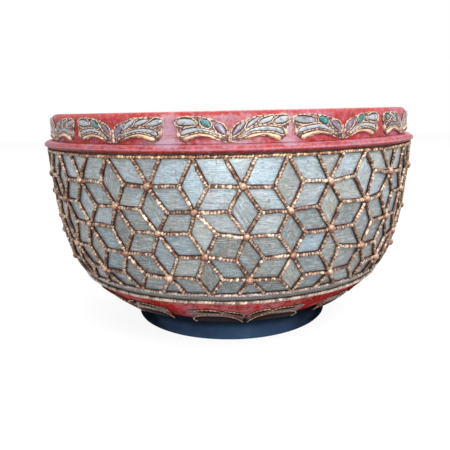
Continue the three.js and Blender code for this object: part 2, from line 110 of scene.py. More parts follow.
# Where the photographed joints lie off the even pattern: column, across and down, for each row
MEASURED = {
    0: ((-9, -2.2, 0), (-3, 0.5, 0), (3, 1.2, 0), (9, 2.4, 0)),
    1: ((-18, -4.0, 0.8), (-12, -3.4, 1.5), (-10, -1.4, 1.2), (-8, -0.9, 1.2), (-6, -2.2, 2.4),
        (-4, -0.2, 1.7), (-2, -1.6, 2.0), (0, 0.5, 2.4), (2, 0.9, 3.1), (4, 0.5, 0.8), (6, 0.6, 2.1),
        (8, 1.4, -0.2), (10, 1.8, -2.1), (12, 4.0, 1.1)),
    2: ((-15, -4.0, 1.3), (-13, -3.6, 0.5), (-11, -1.4, 1.5), (-9, -1.1, 0.7), (-7, -2.1, 1.2),
        (-5, -1.2, 2.8), (-3, -2.5, 2.4), (-1, -0.2, 2.0), (1, 1.2, 2.9), (3, 0.6, 3.0), (5, 0.9, 1.4),
        (7, 0.4, 0.2), (9, 3.9, 1.2), (11, 1.8, -0.7)),
    3: ((-14, -3.8, -0.4), (-12, -3.5, 0), (-10, 0.3, 0), (-8, -0.9, 1.1), (-6, -0.9, 1.2),
        (-4, 0.9, 0.5), (-2, 0, 0.5), (0, -0.4, 2.8), (2, 1.0, 2.8), (6, 1.1, 1.6), (12, 4.0, 1.3)),
    4: ((-15, -4.0, 2.7), (-13, -3.2, 1.3), (-11, -2.0, 1.1), (-9, -1.9, 1.5), (-7, 0.1, 0.6),
        (-5, -0.2, 1.0), (-3, -0.4, 0.5), (-1, 1.0, 3.3), (1, 0.6, 2.2), (3, 1.3, 1.5), (5, 2.5, 1.7),
        (7, 0.3, -0.7), (9, 4.0, 2.8)),
    5: ((-14, -1.4, 1.9), (-12, -2.9, 2.3), (-10, -1.3, 1.5), (-8, -0.2, 0.6), (-6, -0.1, 1.4),
        (-4, 0.3, 1.2), (-2, -0.1, 1.4), (0, -0.9, 2.1), (2, 1.2, 2.8), (4, 1.5, 1.7), (6, 3.9, 2.7),
        (8, 3.8, 1.4)),
    6: ((-9, -0.9, 0), (-3, -1.4, 0), (3, 2.0, 0), (9, 4.0, 0)),
}
MEASURED_FADE = 8

# Lower border and foot
BORDER_CORD_RADIUS = 1.08
STRIP_WIDTH = 3.8
PALE_CORD_WIDTH = 2.6
PALE_CORD_RADIUS = 1.28
PALE_CORD_LIFT = 0.3
FOOT_RADIUS = 79.52
FOOT_INNER = 73.52
FOOT_EDGE = 1.0
FOOT_INNER_EDGE = 0.6
COAT_LOW = 13.2
COAT_HIGH = 14.6
COAT_RINGS = 0.12

# Reliefs
RIM_LEAF_PAIRS = 12
BASE_LEAF_PAIRS = 7
BASE_LEAF_TURN = math.radians(6.5)
BASE_LEAF_SCALE = (1.13, -1.7)
BASE_LEAF_MARGIN = 0.6
BASE_LEAF_MIDDLE = 12.5
GROUND_HEIGHT = 0.7
GROUND_CORD_RADIUS = 0.42
CELL_HEIGHT = 1.05
STONE_HEIGHT = 1.5
KNOB_HEIGHT = 1.0
LIP_HEIGHT = 1.3
LIP_CORD_RADIUS = 0.4
BUD_HEIGHT = 0.9
# Across a domed piece of a relief: shares of its width, and of its height there
PAD_STEPS = np.array([0.0, 0.06, 0.28, 0.5, 0.72, 0.94, 1.0])
PAD_RISE = np.array([0.35, 0.8, 0.95, 1.0, 0.95, 0.8, 0.35])

# How pale the lacquer is at angles in degrees round the photographed front: partly bloom, partly painted
# sheen
PALE_MARKS = ((-66, 0.3), (-58, 0.0), (-44, 0.1), (-32, 0.4), (-25, 0.2), (-18, 0.8), (-14.5, 1.1),
              (-10, 0.4), (-3, 0.7), (4, 0.8), (10, 0.4), (15, 1.0), (20, 0.3), (40, 0.05),
              (52, 0.3), (60, 0.1))
PALE_FADE = 10
# How much pale bloom and painted sheen show, by the distance along a piece's profile; on the
# ridge they keep to its upper part, which is painted paler as lit from above
ALL_OVER = ((0, 1),)
RIM_BLOOM_AND_SHEEN = ((0, 1.6), (6, 1), (17, 1), (25, 0.3))
RIDGE_BLOOM_AND_SHEEN = ((9, 0.1), (12, 1))
# A distance that is past any crest of a profile
FAR = 99

# Camera, from the photograph's perspective
CAMERA_PLACE = (0, -0.456, 0.1665)
CAMERA_LENS = 43.5
CAMERA_PITCH = math.radians(11.92)
CAMERA_YAW = math.radians(0.55)
CAMERA_ROLL = math.radians(-1.23)

# Light, in metres: each lamp with its place, size and power
LAMPS = (
    ("key_lamp", (0.42, -1.15, 1.3), 0.8, 25),
    ("low_lamp", (0.05, -1.1, 0.17), 0.3, 4.6),
    ("right_lamp", (1.2, -0.5, 1.5), 0.9, 9),
    ("left_lamp", (-1.2, 0.1, 1.5), 0.9, 3),
    ("back_lamp", (0.1, 1.4, 1.2), 1.0, 12),
)
LAMP_AIM = (0, 0, 0.09)
WORLD_LIGHT = 0.5
HORIZON_LIGHT = 0.06
HORIZON_HEIGHT = 0.55
FLOOR_HALF = 3.0
FLOOR_DROP = 0.0003
FLOOR_GLOW = 0.9
FLOOR_SHADOW = 0.15
FLOOR_BOUNCE = 0.13

# Fineness
ROUND_SIDES = 256
CORD_SIDES = 10
BEAD_RINGS = 4
STUD_RINGS = 9
STUD_SIDES = 14
HALF_RING = 20
SHARP_ANGLE = math.radians(50)

rng = np.random.default_rng(11)


class Outline:
    """One curve of the bowl's outline, followed by shares of its length."""

    def __init__(self, start, end, handles):
        start, end = np.array(start, float), np.array(end, float)
        first, second = (start + (end - start) * np.array(handle) for handle in handles)
        t = np.linspace(0, 1, 401)[:, None]
        self.points = (start * (1 - t) ** 3 + 3 * first * t * (1 - t) ** 2
                       + 3 * second * t ** 2 * (1 - t) + end * t ** 3)
        self.far = distances(self.points)
        self.length = self.far[-1]
        self.tangents = unit(np.gradient(self.points, axis=0))

    def under(self, share, depth):
        """Radius and height at a share of the length and a depth under the curve."""
        far = np.asarray(share, float) * self.length
        on = np.clip(far, 0, self.length)
        x, y, tx, ty = (np.interp(on, self.far, values)
                        for values in (*self.points.T, *self.tangents.T))
        return x + tx * (far - on) + ty * depth, y + ty * (far - on) - tx * depth


def unit(vectors):
    return vectors / np.linalg.norm(vectors, axis=-1, keepdims=True)


def distances(points):
    """How far along a line each of its points lies."""
    steps = np.linalg.norm(np.diff(points, axis=0), axis=-1)
    return np.concatenate([[0], np.cumsum(steps)])


def polar(angle, radius, height):
    angle, radius, height = np.broadcast_arrays(angle, radius, height)
    return np.stack([radius * np.sin(angle), -radius * np.cos(angle), height], -1)


WALL = Outline(WALL_TOP, WALL_LOW, WALL_HANDLES)
BELLY = Outline(WALL_LOW, NECK, BELLY_HANDLES)
FLOOR = Outline(NECK, FLOOR_EDGE, FLOOR_HANDLES)


def above(curve, depth):
    """Surface at a depth under a curve: gives points by angle, distance along the curve and lift."""
    def surface(angle, down, lift):
        return polar(angle, *curve.under(np.asarray(down) / curve.length, depth - lift))
    return surface


on_wall = above(WALL, GLASS_DEPTH)
on_belly = above(BELLY, BAND_DEPTH)


def on_rim(angle, up, lift):
    """Point above the rim band, at a distance up its face and over its round."""
    straight = RIM_TOP - RIM_ROUND - RIM_LOW
    turn = np.clip((np.asarray(up) - straight) / RIM_ROUND, 0, math.pi / 2)
    radius = RIM_RADIUS - RIM_ROUND + (RIM_ROUND + lift) * np.cos(turn)
    height = RIM_LOW + np.minimum(up, straight) + (RIM_ROUND + lift) * np.sin(turn)
    return polar(angle, radius, height)


def placed(name, data):
    """Object of the scene that shows its data."""
    made = bpy.data.objects.new(name, data)
    bpy.context.scene.collection.objects.link(made)
    return made


class Sheet:
    """Gathers the closed shells of one piece, with values for each of their points."""

    def __init__(self):
        self.points, self.faces, self.values, self.count = [], [], {}, 0

    def add(self, points, faces, **values):
        points = np.asarray(points, float).reshape(-1, 3)
        self.points.append(points)
        self.faces += [[corner + self.count for corner in face] for face in faces]
        for name, value in values.items():
            value = np.asarray(value, float)
            if value.ndim == 0 or len(value) != len(points):
                value = np.broadcast_to(value, (len(points), *value.shape))
            self.values.setdefault(name, []).append((self.count, value))
        self.count += len(points)

    def keep(self, mesh, name, parts):
        """Stores one of the values with the mesh, as 0 where a shell has none."""
        data = np.zeros((self.count, *parts[0][1].shape[1:]))
        for start, value in parts:
            data[start:start + len(value)] = value
        kind, field = ("FLOAT", "value") if data.ndim == 1 else ("FLOAT_VECTOR", "vector")
        mesh.attributes.new(name, kind, "POINT").data.foreach_set(field, data.ravel())

    def piece(self, name, material, slot, *replaced):
        mesh = bpy.data.meshes.new(name)
        mesh.from_pydata((np.concatenate(self.points) * MM).tolist(), [], self.faces)
        shells = bmesh.new()
        shells.from_mesh(mesh)
        bmesh.ops.recalc_face_normals(shells, faces=shells.faces)
        shells.to_mesh(mesh)
        shells.free()
        for key, parts in self.values.items():
            self.keep(mesh, key, parts)
        mesh.shade_smooth()
        mesh.set_sharp_from_angle(angle=SHARP_ANGLE)
        mesh.materials.append(material)
        made = placed(name, mesh)
        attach(made, "root")
        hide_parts(*replaced)


def grid(rows, columns, wrap=False):
    """Quads between rows of points; wrap joins the last column to the first."""
    i, j = np.meshgrid(np.arange(rows - 1), np.arange(columns - (not wrap)), indexing="ij")
    after = (j + 1) % columns
    quads = [i * columns + j, i * columns + after, (i + 1) * columns + after, (i + 1) * columns + j]
    return np.stack(quads, -1).reshape(-1, 4)


def tube(rows, sides):
    """Quads between rings of points, with one face over each end."""
    ring = np.arange(sides)
    return grid(rows, sides, wrap=True).tolist() + [ring.tolist(), (ring + (rows - 1) * sides).tolist()]


def pole_faces(count, sides):
    """Triangles that close the first and last of the rings with the two points after them."""
    ring = np.arange(sides)
    after, last = (ring + 1) % sides, count - sides
    first_pole = np.stack([np.full(sides, count), after, ring], -1)
    last_pole = np.stack([np.full(sides, count + 1), last + ring, last + after], -1)
    return first_pole.tolist() + last_pole.tolist()


def to_end(count):
    """How many steps each point of a row lies from the nearer end."""
    return np.minimum(np.arange(count), np.arange(count)[::-1])

# Turned pieces

def hand(angle, height):
    """Slow unevenness of hand-turned lacquer, as an offset of the radius."""
    return (0.16 * np.sin(3 * angle + 0.7) + 0.12 * np.sin(5 * angle + height / 21)
            + 0.07 * np.sin(11 * angle - height / 9) + 0.05 * np.sin(23 * angle + height / 6))


def pale_places(angle, pairs, turn):
    """How pale the lacquer's bloom and painted sheen are round a band: as photographed, or else palest
    between its leaf pairs.
    """
    even = 0.5 - 0.5 * np.cos(pairs * (angle - turn))
    at, marks = np.array(PALE_MARKS).T
    outside = np.maximum(at[0] - np.degrees(angle), np.degrees(angle) - at[-1])
    trust = np.clip(1 - outside / PALE_FADE, 0, 1)
    return even + trust * (np.interp(np.degrees(angle), at, marks) - even)


def lathe(sheet, profile, uneven=1.0, pairs=1, turn=0.0, crests=(-FAR,), blush=((0, 0),)):
    """Turned shell from its closed profile, anticlockwise with the outside upwards.

    A profile that starts and ends on the axis closes there. The crests are distances along the
    profile where a pale line is painted on as a highlight, and the blush says how much pale bloom,
    partly painted sheen, its lacquer has there.
    """
    solid = profile[0][0] == 0
    if solid:
        poles, profile = profile[[0, -1]], profile[1:-1]
    angles = -math.pi + np.arange(ROUND_SIDES) * TURN / ROUND_SIDES
    radius, height = profile[:, None, 0], profile[:, None, 1]
    ease = np.clip(radius / FOOT_INNER, 0, 1) * uneven
    points = polar(angles, radius + ease * hand(angles, height), height).reshape(-1, 3)
    rows, count = len(profile), len(points)
    faces = (grid(rows if solid else rows + 1, ROUND_SIDES, wrap=True) % count).tolist()
    far = np.repeat(distances(profile), ROUND_SIDES)
    lay = np.stack([(angles * radius).ravel(), far, np.zeros(count)], -1)
    # Amount of bloom and painted sheen along the profile
    bloom = np.interp(far, *np.array(blush, float).T)
    apart = np.tile(pale_places(angles, pairs, turn), rows) * bloom
    # How far each point lies from the nearest line of painted highlight
    off_crest = np.abs(far[:, None] - crests).min(1)
    if solid:
        faces += pole_faces(count, ROUND_SIDES)
        points = np.concatenate([points, [[0, 0, pole[1]] for pole in poles]])
        lay = np.concatenate([lay, np.zeros((2, 3))])
        bloom, apart = np.append(bloom, [0, 0]), np.append(apart, [0, 0])
        off_crest = np.append(off_crest, [FAR, FAR])
    sheet.add(points, faces, lay=lay, apart=apart, bloom=bloom, off_crest=off_crest)


def arc(centre, across, up, start, end, steps=8):
    """Points of an ellipse about a centre, from one angle in degrees to another."""
    angles = np.radians(np.linspace(start, end, steps + 1))
    return np.stack([centre[0] + across * np.cos(angles), centre[1] + up * np.sin(angles)], -1)


def line(start, end, steps=1):
    return np.linspace(start, end, steps + 1)


def run(curve, depth, start, end, steps=12):
    """Profile points at one depth under a curve."""
    return np.stack(curve.under(np.linspace(start, end, steps + 1), depth), -1)


def distinct(*parts):
    """Profile parts joined, without the points that fall on the one before."""
    points = np.concatenate(parts)
    keep = np.concatenate([[True], np.linalg.norm(np.diff(points, axis=0), axis=1) > 1e-6])
    return points[keep]


def turned(name, material, slot, replaced, *parts, **looks):
    """Piece turned from the parts of its profile."""
    sheet = Sheet()
    lathe(sheet, distinct(*parts), **looks)
    sheet.piece(name, material, slot, *replaced)


def layer(curve, upper, lower, start, end, steps=12):
    """Closed profile between two depths under a curve, from one share of it to another."""
    return run(curve, upper, end, start, steps), run(curve, lower, start, end, steps)


def rim_band():
    outer = (RIM_RADIUS - RIM_ROUND, RIM_TOP - RIM_ROUND)
    inner = (LIP_RADIUS + LIP_ROUND, RIM_TOP - LIP_ROUND)
    edge = 0.2
    turned(
        "rim_band_lacquered", cinnabar, "cinnabar_lacquer", ["rim_band"],
        line((RIM_SEAT, RIM_LOW), (RIM_RADIUS - edge, RIM_LOW)),
        arc((RIM_RADIUS - edge, RIM_LOW + edge), edge, edge, -90, 0, 3),
        line((RIM_RADIUS, RIM_LOW + edge), (RIM_RADIUS, outer[1]), 8),
        arc(outer, RIM_ROUND, RIM_ROUND, 0, 90, 10),
        line((outer[0], RIM_TOP), (inner[0], RIM_TOP), 3),
        arc(inner, LIP_ROUND, LIP_ROUND, 90, 180, 6),
        line((LIP_RADIUS, inner[1]), (LIP_RADIUS, LIP_LOW), 2),
        line((LIP_RADIUS, LIP_LOW), (RIM_SEAT, LIP_LOW)),
        pairs=RIM_LEAF_PAIRS, blush=RIM_BLOOM_AND_SHEEN)


def ridge():
    radius, height = RIDGE_CREST
    lower = (radius - RIDGE_UNDERCUT, height)
    turned(
        "ridge_moulding_lacquered", cinnabar_ridge, "cinnabar_lacquer", ["ridge_moulding"],
        line((RIM_SEAT, RIDGE_LOW), (lower[0], RIDGE_LOW)),
        arc(lower, RIDGE_UNDERCUT, height - RIDGE_LOW, -90, 0),
        arc((RIM_RADIUS, height), radius - RIM_RADIUS, RIDGE_TOP - height, 0, 90, 12),
        line((RIM_RADIUS, RIDGE_TOP), (RIM_SEAT, RIDGE_TOP)),
        pairs=RIM_LEAF_PAIRS, crests=RIDGE_HIGHLIGHT_LINES, blush=RIDGE_BLOOM_AND_SHEEN)


def inside(depth, steps):
    """Profile at one depth from the floor's edge up to the straight part of the inside."""
    return distinct(run(FLOOR, depth, 1, 0, steps // 2), run(BELLY, depth, 1, 0, steps),
                    run(WALL, depth, 1, 1 / 3, steps))


def lining():
    outer = BOWL_DEPTH - LINING_THICKNESS
    top = LIP_LOW - FIT_GAP
    floor_low, floor_high = FLOOR_EDGE[1] + outer, FLOOR_EDGE[1] + BOWL_DEPTH
    turned(
        "lining_lacquered", cinnabar_inside, "cinnabar_lacquer", ["lacquer_lining"],
        line((0, floor_low), (FLOOR_EDGE[0] / 2, floor_low)),
        inside(outer, 12),
        line((MOUTH_RADIUS + LINING_THICKNESS, top), (MOUTH_RADIUS, top)),
        inside(BOWL_DEPTH, 16)[::-1],
        line((FLOOR_EDGE[0] * 0.8, floor_high), (0, floor_high), 5),
        uneven=0.4)


def lower_band():
    start = (HEM + STRIP_WIDTH + PALE_CORD_WIDTH + 3 * FIT_GAP) / BELLY.length
    turned("lower_band_lacquered", cinnabar_low, "cinnabar_lacquer", ["lower_band"],
           *layer(BELLY, BAND_DEPTH, GROUND_DEPTH, start, 1 - FIT_GAP / BELLY.length),
           uneven=0.6, pairs=BASE_LEAF_PAIRS, turn=BASE_LEAF_TURN, blush=ALL_OVER)


def glass_strip():
    start = (HEM + FIT_GAP) / BELLY.length
    turned("border_glass_strip", strip_glass, "silvered_glass", ["glass_strip"],
           *layer(BELLY, GLASS_DEPTH, GROUND_DEPTH, start, start + STRIP_WIDTH / BELLY.length, 4),
           uneven=0.3)


def foot():
    cove = Outline((FOOT_RADIUS, FOOT_EDGE), FLOOR.under(0, BAND_DEPTH), COVE_HANDLES)
    turned(
        "foot_ring_lacquered", black, "black_lacquer", ["foot_ring"],
        line((FOOT_INNER + FOOT_INNER_EDGE, 0), (FOOT_RADIUS - FOOT_EDGE, 0)),
        arc((FOOT_RADIUS - FOOT_EDGE, FOOT_EDGE), FOOT_EDGE, FOOT_EDGE, -90, 0, 4),
        run(cove, 0, 0, 1, 14), run(FLOOR, GROUND_DEPTH, 0, 1, 6),
        line((FOOT_INNER, FLOOR_EDGE[1]), (FOOT_INNER, FOOT_INNER_EDGE), 3),
        uneven=0.5)


def base_coat():
    """Panel inside the foot, with the shallow rings that the turning left."""
    radius = np.linspace(0, FOOT_INNER - FIT_GAP, 60)
    low = COAT_LOW + COAT_RINGS * np.sin(radius * 1.9)
    turned("base_panel_lacquered", black_panel, "black_lacquer", ["base_coat"],
           np.stack([radius, low], -1), [[radius[-1], COAT_HIGH], [0, COAT_HIGH]], uneven=0)


# Cords

def cord_frame(surface, angle, down, lift, closed):
    """Middle line of a cord, with its ways to the side and out of the surface."""
    centre = surface(angle, down, lift)
    ahead = np.gradient(centre, axis=0)
    if closed:
        ahead[0] = ahead[-1] = ahead[0] + ahead[-1]
    side = unit(np.cross(ahead, surface(angle, down, lift + 1.0) - centre))
    return centre, side, unit(np.cross(side, ahead))


def rope(sheet, surface, angle, down, lift, radius, pitch=2.0, notch=0.3, slant=0.0, tone=0.5, wild=1.0,
         closed=False):
    """Cord of uneven beads laid on a surface along a path of angles and distances."""
    rough = distances(surface(angle, down, lift))
    beads = max(int(round(rough[-1] / pitch)), 1)
    count = beads * BEAD_RINGS + 1
    bead_of = np.arange(count) // BEAD_RINGS % beads
    fat, aside, tint = rng.normal(0, wild, (3, beads))
    knots = np.arange(count) / BEAD_RINGS
    aside = np.interp(knots, np.arange(beads + 1), np.append(aside, aside[0] if closed else 0))
    at = np.linspace(0, rough[-1], count)
    path = [np.interp(at, rough, np.broadcast_to(values, rough.shape)) for values in (angle, down, lift)]
    centre, side, up = cord_frame(surface, *path, closed)
    centre = centre + side * (0.16 * radius * aside)[:, None]
    theta = np.arange(CORD_SIDES) * TURN / CORD_SIDES
    place = (knots[:, None] + slant * np.sin(theta + 1)) % 1
    bead = np.sqrt(1 - (2 * place - 1) ** 2)
    girth = radius * (1 - notch + notch * bead * (1 + 0.3 * np.clip(fat[bead_of], -2, 2)[:, None]))
    if not closed:
        girth = girth * np.clip(0.6 + 0.2 * to_end(count), 0, 1)[:, None]
    round_it = np.cos(theta)[:, None] * side[:, None] + np.sin(theta)[:, None] * up[:, None]
    points = centre[:, None] + girth[..., None] * round_it
    # Paler outside and on bead crests, darker on flanks and in notches: rubbed gilding with painted
    # highlight and shade
    relief = (0.5 + 0.5 * np.sin(theta)) * (0.25 + 0.75 * bead)
    tone = np.repeat(np.clip(tone + 0.5 * tint[bead_of], -0.6, 1.6), CORD_SIDES)
    if closed:
        faces = grid(count, CORD_SIDES, wrap=True) % ((count - 1) * CORD_SIDES)
        sheet.add(points[:-1], faces, relief=relief[:-1].ravel(), tone=tone[:-CORD_SIDES])
    else:
        sheet.add(points, tube(count, CORD_SIDES), relief=relief.ravel(), tone=tone)


def ball(sheet, centre, up, radius, squash, tone):
    """Hand-rolled ball, a little uneven, resting on a surface."""
    across = unit(np.cross(up, [0.0, 0.0, 1.0]))
    phi = np.linspace(0, math.pi, STUD_RINGS + 2)[1:-1, None]
    theta = np.arange(STUD_SIDES) * TURN / STUD_SIDES
    lumps = 1 + 0.05 * np.sin(2 * theta + 9 * tone) * np.sin(phi)
    lumps += 0.04 * np.sin(3 * theta - 5 * tone + 2 * phi)
    local = np.stack(np.broadcast_arrays(np.sin(phi) * np.cos(theta), np.sin(phi) * np.sin(theta),
                                         np.cos(phi) * squash), -1)
    local = (local * lumps[..., None]).reshape(-1, 3)
    local = np.concatenate([local, [[0, 0, squash], [0, 0, -squash]]]) * radius
    points = centre + local @ np.stack([across, np.cross(across, up), up])
    faces = grid(STUD_RINGS, STUD_SIDES, wrap=True).tolist()
    faces += pole_faces(STUD_RINGS * STUD_SIDES, STUD_SIDES)
    # Painted light: lighter on the upper side of the ball, darker on its lower side, as lit from above
    relief = np.clip(0.5 + (0.3 * local[:, 2] + 0.35 * local[:, 1]) / radius, 0, 1)
    sheet.add(points, faces, relief=relief, tone=tone)


# Rhomb pattern

def row_share(row):
    """Share of the wall's length down to a row."""
    return (row + (ROW_DROP if row % ROWS else 0)) / ROWS


def all_strays():
    """How far each joint lies off the even pattern, across and down: random where not measured."""
    strays = rng.normal(0, JOINT_JITTER, (ROWS + 1, COLUMNS, 2))
    columns = (np.arange(COLUMNS) + COLUMNS // 2) % COLUMNS - COLUMNS // 2
    for row, marks in MEASURED.items():
        at, *offsets = np.array(marks, float).T
        outside = np.maximum(at[0] - columns, columns - at[-1])
        trust = np.clip(1 - outside / MEASURED_FADE, 0, 1)
        offsets[1] -= (row_share(row) - row / ROWS) * WALL.length
        for axis, values in enumerate(offsets):
            strays[row, :, axis] += trust * (np.interp(columns, at, values) - strays[row, :, axis])
    return strays


strays = all_strays()


def joint(place):
    """Angle and distance down the wall of a joint, with the unevenness of hand work."""
    row, column = place
    across, down = strays[row, column % COLUMNS]
    share = row_share(row)
    level = share * WALL.length + (down if 0 < row < ROWS else 0)
    angle = PATTERN_TURN + ROW_DRIFT * (row - ROWS / 2) + TURN * column / COLUMNS
    return np.array([angle + across / WALL.under(share, 0)[0], level])


def is_star(place):
    row, column = place
    return column % STAR_COLUMNS == (0 if row % 2 else STAR_COLUMNS // 2)


def windows():
    """Loops of joints round every rhomb, anticlockwise from outside; border rhombs are halves."""
    for first in range(0, COLUMNS, STAR_COLUMNS):
        for row in range(ROWS):
            upper, lower = (row + 1) % 2, row % 2
            loop = [(row, upper), (row + 1, lower), (row + 1, lower + 2), (row, upper + 2)]
            yield [(at, first + column) for at, column in loop]
            yield [(at, first + STAR_COLUMNS - column) for at, column in loop[::-1]]
        for row in range(ROWS + 1):
            middle = first + (row % 2) * STAR_COLUMNS // 2
            loop = [(row - 1, middle), (row, middle - 1), (row + 1, middle), (row, middle + 1)]
            yield [place for place in loop if 0 <= place[0] <= ROWS]


def inset_corners(corners):
    """Corners of a window, moved in from both of their edges."""
    scale = np.array([WALL.under(corners[:, 1].mean() / WALL.length, 0)[0], 1])
    flat = corners * scale
    edges = unit(np.roll(flat, -1, 0) - flat)
    inward = np.stack([edges[:, 1], -edges[:, 0]], -1)
    inward *= np.sign(((flat.mean(0) - flat) * inward).sum(1))[:, None]
    before = np.roll(inward, 1, 0)
    moved = flat + TILE_INSET * (inward + before) / (1 + (inward * before).sum(1))[:, None]
    return moved / scale


def window_corners(loop):
    """Four corners of the glass in a window: half a rhomb has one in the middle of its border."""
    corners = [joint(place) for place in loop]
    if len(corners) == 3:
        flat = next(i for i in range(3) if loop[i][0] == loop[(i + 1) % 3][0])
        corners.insert(flat + 1, (corners[flat] + corners[(flat + 1) % 3]) / 2)
    return inset_corners(np.array(corners))


def streak_way(loop):
    """Direction of the streaks in the glass of one window."""
    if abs(loop[0][1] - loop[-1][1]) < 2:
        way = np.array(STREAK_WAYS[rng.integers(len(STREAK_WAYS))])
    else:
        way = np.array([1, rng.normal(0, 0.06)])
    return way / np.linalg.norm(way)


def streaked(points, middle, up, way, seed):
    """Places along and across the streaks of a piece of glass, far from those of other pieces."""
    east = unit(np.cross([0.0, 0.0, 1.0], middle * [1, 1, 0]))
    x, y = (points - middle) @ east, (points - middle) @ np.cross(up, east)
    along, across = x * way[0] + y * way[1], y * way[0] - x * way[1]
    return np.stack([along + 40 * seed, across + 13 * seed, np.full(len(x), seed)], -1)


def tile_faces():
    """Faces of a tile: its top, its underside and its sides, with the points round its top."""
    size = TILE_STEPS + 1
    index = np.arange(size * size).reshape(size, size)
    rim = np.concatenate([index[:, 0], index[-1, 1:], index[-2::-1, -1], index[0, -2:0:-1]])
    below = size * size + np.arange(len(rim))
    sides = np.stack([rim, below, np.roll(below, -1), np.roll(rim, -1)], -1)
    return rim, grid(size, size).tolist() + [below.tolist()] + sides.tolist()


def tile(sheet, loop):
    """Slightly tilted and waved piece of glass that fills one window."""
    corners = window_corners(loop)
    tilts = rng.normal(0, TILE_TILT, 4)
    points = np.stack([on_wall(*corner, lift) for corner, lift in zip(corners, tilts)])
    even = np.linspace(0, 1, TILE_STEPS + 1)
    u, v = (share.reshape(-1, 1) for share in np.meshgrid(even, even, indexing="ij"))
    shares = np.concatenate([(1 - u) * (1 - v), u * (1 - v), u * v, (1 - u) * v], 1)
    top = shares @ points * (1 - TILE_FOLLOW) + on_wall(*(shares @ corners).T, 0) * TILE_FOLLOW
    up = unit(np.cross(points[1] - points[3], points[2] - points[0]))
    bow, phase, seed = rng.uniform(0.0, TILE_BOW), rng.uniform(0, TURN), rng.uniform(0, 90)
    # Tone: random, plus painted shade that grows with the distance down the wall
    tone = rng.uniform(-0.35, 0.75) + corners[:, 1].mean() / WALL.length
    # How far a point is from the piece's edge, where painted shade darkens it
    edge = np.clip(np.minimum.reduce([u, 1 - u, v, 1 - v]) * TILE_STEPS, 0, 1)
    wave = 0.05 * np.sin(5 * u + phase) * np.sin(4 * v - phase)
    top = top + up * (edge * (bow + wave) - TILE_ROUNDING * (edge == 0))
    lay = streaked(top, points.mean(0), up, streak_way(loop), seed)
    rim, faces = tile_faces()
    low = top[rim] - up * (BED_DEPTH - GLASS_DEPTH + TILE_SINK)
    sheet.add(np.concatenate([top, low]), faces, lay=np.concatenate([lay, lay[rim]]), tone=tone,
              edge=np.append(edge, np.zeros(len(rim))))


def mosaic():
    tiles = Sheet()
    for loop in windows():
        tile(tiles, loop)
    tiles.piece("glass_rhombs", glass, "silvered_glass", "mosaic_ground")
    hem = HEM / WALL.length
    turned("mosaic_putty_bed", putty, "gilt_putty", [],
           *layer(WALL, BED_DEPTH, GROUND_DEPTH, -hem, 1 + hem, 40), uneven=0)


def bowed(start, end, bow):
    """Path between two joints that strays a little to one side."""
    t = np.linspace(0, 1, 13)
    stray = bow * np.sin(math.pi * t) / RHOMB_EDGE
    radius = WALL.under(0.5, 0)[0]
    angle = start[0] + (end[0] - start[0]) * t + stray * (end[1] - start[1]) / radius
    return angle, start[1] + (end[1] - start[1]) * t - stray * (end[0] - start[0]) * radius


def net_cord(sheet, start, end):
    """Putty cord from joint to joint: some are pressed flat, the others are beaded."""
    angle, down = bowed(start, end, rng.normal(0, 0.35))
    flat = rng.uniform() < FLAT_CORDS_SHARE
    rope(sheet, on_wall, angle, down, CORD_LIFT - 0.1 * flat, CORD_RADIUS * rng.uniform(0.88, 1.1),
         pitch=rng.uniform(1.7, 2.3), notch=0.08 if flat else rng.uniform(0.16, 0.34),
         slant=rng.normal(0, 0.2), tone=rng.uniform(0, 0.8))


def cord_net():
    """Cord over every joint but those of the borders, in one piece for each two rows, and the studs."""
    bands, studs, done = [Sheet(), Sheet(), Sheet()], Sheet(), set()
    for loop in windows():
        for start, end in zip(loop, loop[1:] + loop[:1]):
            key = tuple(sorted((row, column % COLUMNS) for row, column in (start, end)))
            if key not in done and not (start[0] == end[0] and start[0] in (0, ROWS)):
                done.add(key)
                net_cord(bands[min(start[0], end[0]) // 2], joint(start), joint(end))
    for place in filter(is_star, product(range(1, ROWS), range(COLUMNS))):
        centre, higher = (on_wall(*joint(place), lift) for lift in (STUD_LIFT, 2 * STUD_LIFT))
        ball(studs, centre, unit(higher - centre), STUD_RADIUS * rng.uniform(0.9, 1.06),
             rng.uniform(0.85, 1), rng.uniform(0.2, 0.7))
    for name, band in zip(("upper_cord_net", "middle_cord_net", "lower_cord_net"), bands):
        band.piece(name, gilt, "gilt_putty", "cord_net")
    studs.piece("gilt_studs", stud_gilt, "gilt_putty")


def ring_cord(name, material, slot, replaced, surface, down, lift, radius, **looks):
    """Cord that goes all the way round the bowl, swaying a little."""
    around = np.linspace(-math.pi, math.pi, 721)
    sway = 0.12 * np.sin(9 * around) + 0.1 * np.sin(17 * around + 1)
    sheet = Sheet()
    rope(sheet, surface, around, down + sway, lift, radius, closed=True, **looks)
    sheet.piece(name, material, slot, *replaced)


def border_cords():
    ring_cord("upper_border_cord", border_gilt, "gilt_putty", [], on_wall, 0, CORD_LIFT,
              BORDER_CORD_RADIUS, pitch=2.1, notch=0.14, slant=0.3, tone=0.4)
    ring_cord("lower_border_cord", faded_gilt, "gilt_putty", [], on_wall, WALL.length, CORD_LIFT,
              BORDER_CORD_RADIUS, pitch=2.2, notch=0.2, slant=0.1, tone=0.7)
    pale_down = HEM + STRIP_WIDTH + 2 * FIT_GAP + PALE_CORD_WIDTH / 2
    ring_cord("pale_border_cord", pale_gilt, "pale_gilt_putty", ["pale_cord"], on_belly, pale_down,
              PALE_CORD_LIFT, PALE_CORD_RADIUS, pitch=2.6, notch=0.14, slant=0.2, tone=0.5)


